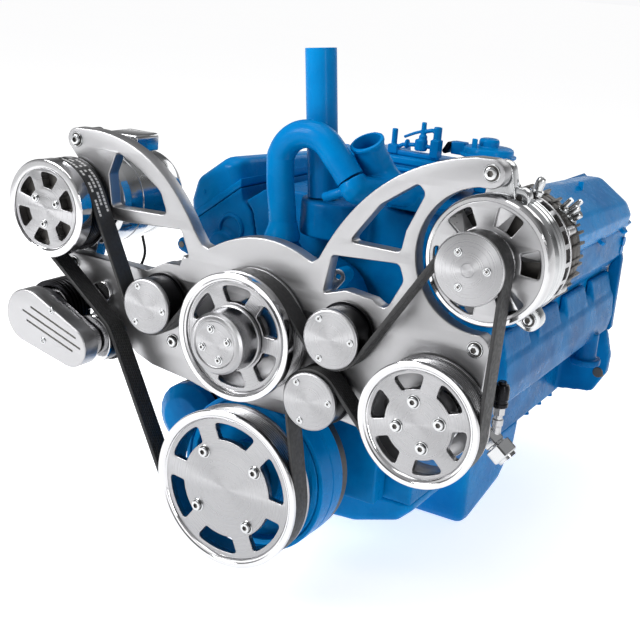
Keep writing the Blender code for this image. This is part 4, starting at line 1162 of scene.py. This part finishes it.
tree = [
    box("tree_base", (-16, 370, 374.4), (61, 378, 381)),
    box("tree_foot", (-17, 368, 376), (-2, 380, 388)),
    turned("tree_post", [(0, 386), (4.2, 386), (4.2, 409), (3.6, 410), (0, 410)],
           CRANK, 24, UPRIGHT, (-10, 374, 0)),
    turned("tree_valve", [(0, -8), (7.5, -8), (9, -6.5), (9, 6.5), (7.5, 8), (0, 8)],
           CRANK, 32, facing(90), (32, 374, 392)),
    turned("tree_collar", [(0, -11), (4.6, -11), (6.6, -10), (6.6, -7), (4, -6), (0, -6)],
           CRANK, 24, facing(0), (19, 374, 391)),
    swept("tree_link", [(-6, 374, 384), (4, 374, 389), (20, 374, 391), (32, 374, 391), (56, 374, 391)],
          3.0, 20),
    turned("tree_stem", [(0, 398), (6, 398), (6, 405), (3.6, 407), (3.6, 423), (3.0, 424), (0, 424)],
           CRANK, 28, UPRIGHT, (34, 374, 0)),
    box("tree_tall", (49, 366, 378), (61.5, 382, 402)),
    turned("tree_cap", [(0, 400), (5.8, 400), (5.8, 419), (5.0, 420), (0, 420)],
           CRANK, 28, UPRIGHT, (55.5, 374.5, 0)),
    swept("tree_bridge", [(36, 374, 411), (46, 374, 414), (55, 374, 414)], 3.0, 20),
    swept("tree_branch", [(34, 374, 412), (20, 374, 407), (5, 374, 400)], 2.2, 20),
]
casting("fittings", tree, BLUE, "fitting_tree", 0.9, 3)

valve = [(0, 338.4), (13, 338.4), (14, 339.4), (14, 372), (16, 374), (28, 376.6), (30, 378.4),
    (30, 385.6), (31, 386.6), (38.4, 387), (39, 387.6), (39, 389.4), (38.4, 390), (36, 390.6),
    (35, 391.6), (35, 396), (34, 398.4), (31.6, 399.8), (15.4, 400.6), (14, 402), (14, 408),
    (12.6, 411), (10, 412), (0, 412)]
low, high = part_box("recirculation_valve")
valve_place = ((low[0] + high[0]) / 2 / MM, ((low[1] + high[1]) / 2 - BELT_Y_M) / MM, 0)
spun("round_valve", valve, CRANK, 96, BLUE, "recirculation_valve", turn=UPRIGHT, at=valve_place)
bracket = [box("valve_tab", (108, 372, 384), (116, 375, 412)),
           box("valve_foot", (104, 366, 384.4), (120, 378, 392)),
           box("valve_arm", (72, 386, 384.6), (92, 402, 402))]
finished(joined("valve_bracket", bracket), BLUE, edge=1.6, segments=3)
flap = prism("valve_flap", capsule((64, 388), 4, (69, 398), 3, 10), 384, 404)
finished(flap, BLACK, edge=0.8)

# Filler tube: a plain tube with a rolled rim.
lean = Matrix.Rotation(math.radians(-6), 4, "Y") @ UPRIGHT
spun("filler_pipe", [(17.8, 0), (20.2, 0), (20.2, 2), (20.2, 187.2), (19.8, 188), (18.2, 188),
    (17.8, 187.2)], CRANK, 72, BLUE, "oil_filler_tube", turn=lean, at=(-18, 199, 333.5))

# The U-shaped water pipe, its flared foot and its clamp.
BYPASS_Y = 154.0
route = [(-47, BYPASS_Y, 283), (-49.2, BYPASS_Y, 300), (-52, BYPASS_Y, 320), (-54.8, BYPASS_Y, 338),
    (-57, BYPASS_Y, 353)]
route += [(x, BYPASS_Y, z) for x, z in arc((-17, 376), 42, 172, 43, 12)]
route += [(24, BYPASS_Y, 394), (34, BYPASS_Y, 383.6), (45, BYPASS_Y, 371)]
path = smooth_path(route, 3)
finished(swept("water_pipe", path, 17.9, 48), BLUE, "bypass_pipe", angle=60)
spun("water_pipe_flare", [(16, 278), (22, 278), (23.4, 280), (23.2, 285), (21, 290), (19.2, 296),
    (18.2, 303), (16, 303)], CRANK, 64, BLUE, turn=UPRIGHT, at=(-48.4, BYPASS_Y, 0), angle=30)
finished(swept("pipe_clamp_barrel", [(12, 150, 343), (28, 150, 350), (42, 150, 356)], 6.4, 28), BLUE,
    edge=1.2)
hex_bolts("pipe_clamp_bolt", [(43, 150, 357)], 13, 8, facing(204))

# The thermostat neck: an open mouth with a rolled lip, over an elbow.
neck_route = smooth_path([(49, 180, 416), (53, 190, 397), (59, 200, 379), (72, 204, 363),
    (86, 207, 350)], 6)
neck_radii = []
for k in range(len(neck_route)):
    t = k / (len(neck_route) - 1)
    lip = 1.4 if t < 0.08 else -0.8 if t < 0.3 else 0.0
    neck_radii.append(21.0 + lip + 2.0 * max(0, t - 0.6))
neck = swept("neck", neck_route, neck_radii, 56)
elbow = swept("neck_elbow", smooth_path([(80, 202, 358), (90, 214, 357), (94, 236, 356)], 6), 20, 40)
foot = slab("neck_foot", [rounded([(66, 331, 2), (120, 331, 2), (120, 352, 8), (66, 352, 8)])], 216,
    262, CRANK, 2.0, 2)
receiver = swept("neck_receiver", smooth_path([(46.5, BYPASS_Y, 369.3), (50, BYPASS_Y, 365),
    (54.3, BYPASS_Y, 359), (68, 180, 356), (80, 200, 356)], 6), 18, 40)
housing = joined("neck_casting", [neck, elbow, foot, receiver])
cast(housing, 1.5, 7)
bore = smooth_path([(46.6, 174, 427.4), (53, 190, 397), (56, 195.5, 387)], 6)
boolean(housing, "DIFFERENCE", swept("neck_bore", bore, 18.0, 48))
finished(housing, BLUE, "thermostat_housing", angle=50)

# Round cast features on the fronts of the heads, the spare lug on the pump, and the fuel pump's joint; the
# dark discs in the lug holes are painted shade.
plug = [(0, 211.8), (15.4, 211.8), (16.2, 209.6), (17.4, 208.4), (19, 208.4), (20.6, 209.6),
    (21.6, 212), (21.8, 213.6), (0, 213.6)]
for side in (-1, 1):
    spun("head_plug", plug, (side * 169, 262), 64, CAST_BLUE, angle=30)
    # A dark disc in the head lug's hole: painted shade.
    spun("head_lug_hole_shade", [(0, 210.8), (4.4, 210.8), (4.4, 213), (0, 213)], (side * 254, 223), 32, DARK,
        angle=32)
    spun("cover_button", [(0, 213.6), (2.4, 214), (3.2, 215.6), (3.2, 219), (0, 219)],
        (side * 220, 305), 24, BLUE, angle=30)
lug_face = slab("pump_lug_face", [capsule((33, 229), 13.2, (57, 255), 9.4, 20),
    circle((57, 255), 3.6, 28)], 120.6, 122.8, CRANK, 0.7, 2)
finished(lug_face, CAST_ALLOY, angle=40)
# A dark disc in the pump lug's hole: painted shade.
spun("pump_lug_hole_shade", [(0, 122.2), (3.8, 122.2), (3.8, 123), (0, 123)], (57, 255), 28, DARK, angle=32)
spun("fuel_pump_seal", [(40, 148.4), (46.4, 148.4), (46.9, 149), (46.9, 152), (46.4, 152.6),
    (40, 152.6)], (-172, 4), 72, BLACK, "fuel_pump")
rear_plate = [(224, 96), (240, 84), (243, 90), (243, 206), (240, 216), (224, 192)]
for side in (-1, 1):
    outline = rear_plate if side > 0 else mirrored(rear_plate)
    finished(prism("head_rear_edge", outline, 724, 737.6), CAST_BLUE, edge=2.0, segments=3)
spun("block_dowel", [(0, 771), (8, 771), (10.4, 773), (11, 776), (11, 788), (10, 789.6), (0, 789.6)],
    (221, -7), 40, DARK, "engine_block", angle=30)
pan_bolts = [(side * 143, y, -66.4) for side in (-1, 1) for y in (226, 290, 354, 650, 710, 764)]
hex_bolts("pan_rail_bolts", pan_bolts, 11, 5, facing(-90))

# Parts of the engine seen only from below or behind keep their CAD shape.
for name in ("crankshaft", "camshaft", "water_pump_shaft", "alternator_rotor",
             "steering_pump_shaft", "tensioner_spring"):
    item = frame["nodes"][name]
    smooth_by_angle(item.data, 40)
    for material_slot in item.material_slots:
        material_slot.material = STEEL


# ---------------------------------------------------------------- studio

def floor_paint():
    """Near-white floor paint with the faintest unevenness, lit a little from within."""
    material, tree, shader = new_material("studio_floor", (0.90, 0.90, 0.90), 0.0, 0.7)
    cloud = noise(tree, object_position(tree), 0.8, 2.0)
    feed(tree, shader, {
        "Base Color": blend_colour(tree, cloud, (0.89, 0.89, 0.895), (0.92, 0.92, 0.92)),
        "Specular IOR Level": 0.0, "Emission Color": (1.0, 1.0, 1.0, 1.0), "Emission Strength": 0.68,
    })
    return material


FLOOR_REACH_M, FLOOR_GAP_M = 150.0, 0.002
LENS_MM, SENSOR_MM = 62.63, 36.0
floor_z = cad_low[2] - FLOOR_GAP_M
corners = [(x * FLOOR_REACH_M, y * FLOOR_REACH_M) for x, y in ((-1, -1), (1, -1), (1, 1), (-1, 1))]
floor_mesh = bpy.data.meshes.new("studio_floor")
floor_mesh.from_pydata([(x, y, floor_z) for x, y in corners], [], [(0, 1, 2, 3)])
floor = placed("studio_floor", floor_mesh)
floor.data.materials.append(floor_paint())
floor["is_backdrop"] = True

studio = bpy.data.worlds.new("studio")
bpy.context.scene.world = studio
studio.use_nodes = True
sky_tree = studio.node_tree
background = sky_tree.nodes["Background"]
direction = node(sky_tree, "TexCoord", {}, "Generated")
steepness = node(sky_tree, "SeparateXYZ", {"Vector": direction}, "Z")
height = node(sky_tree, "MapRange", {"From Min": -0.1, "From Max": 1.0, "Value": steepness}, "Result")
ramp = sky_tree.nodes.new("ShaderNodeValToRGB")
SKY_STEPS = ((0.0, 1.0), (0.12, 1.0), (0.17, 0.45), (0.34, 0.20), (0.50, 0.10), (0.62, 0.22),
    (0.80, 0.45), (1.0, 0.5))
for position, grey in SKY_STEPS[1:-1]:
    ramp.color_ramp.elements.new(position)
for element, (position, grey) in zip(ramp.color_ramp.elements, SKY_STEPS):
    element.position = position
    element.color = (grey, grey, grey * 1.01, 1.0)
feed(sky_tree, ramp, {"Fac": height})
feed(sky_tree, background, {"Color": ramp.outputs["Color"], "Strength": 0.95})


def softbox(name, place, target, width, height, power):
    lamp = bpy.data.lights.new(name, "AREA")
    lamp.shape = "RECTANGLE"
    lamp.size, lamp.size_y = width, height
    lamp.energy = power
    item = placed(name, lamp, place)
    item.rotation_euler = (Vector(target) - Vector(place)).to_track_quat("-Z", "Y").to_euler()


MIDDLE = (0.0, -0.6, 0.2)
softbox("overhead", (-0.4, -0.9, 2.7), MIDDLE, 2.2, 1.4, 24)
softbox("key", (-1.7, -2.9, 1.7), MIDDLE, 0.9, 1.5, 84)
softbox("strip", (2.6, -1.9, 1.0), MIDDLE, 0.35, 1.8, 18)
softbox("back", (0.2, 2.8, 1.9), MIDDLE, 2.0, 1.0, 14)
bpy.context.scene.view_settings.view_transform = "Standard"

camera_data = bpy.data.cameras.new("camera")
camera_data.lens, camera_data.sensor_width = LENS_MM, SENSOR_MM
camera_data.clip_end = 200.0
camera = placed("camera", camera_data)
eye, target = Vector((0.6986, -1.8324, 0.6074)), Vector((0.1051, -0.790, 0.2371))
up = Vector((-0.08716, 0, 0.99619))  # the photo's engine leans 5 degrees
back_axis = (eye - target).normalized()
right_axis = up.cross(back_axis).normalized()
up_axis = back_axis.cross(right_axis)
turn = Matrix((right_axis, up_axis, back_axis)).transposed().to_4x4()
camera.matrix_world = Matrix.Translation(eye) @ turn
bpy.context.scene.camera = camera

low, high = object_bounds()
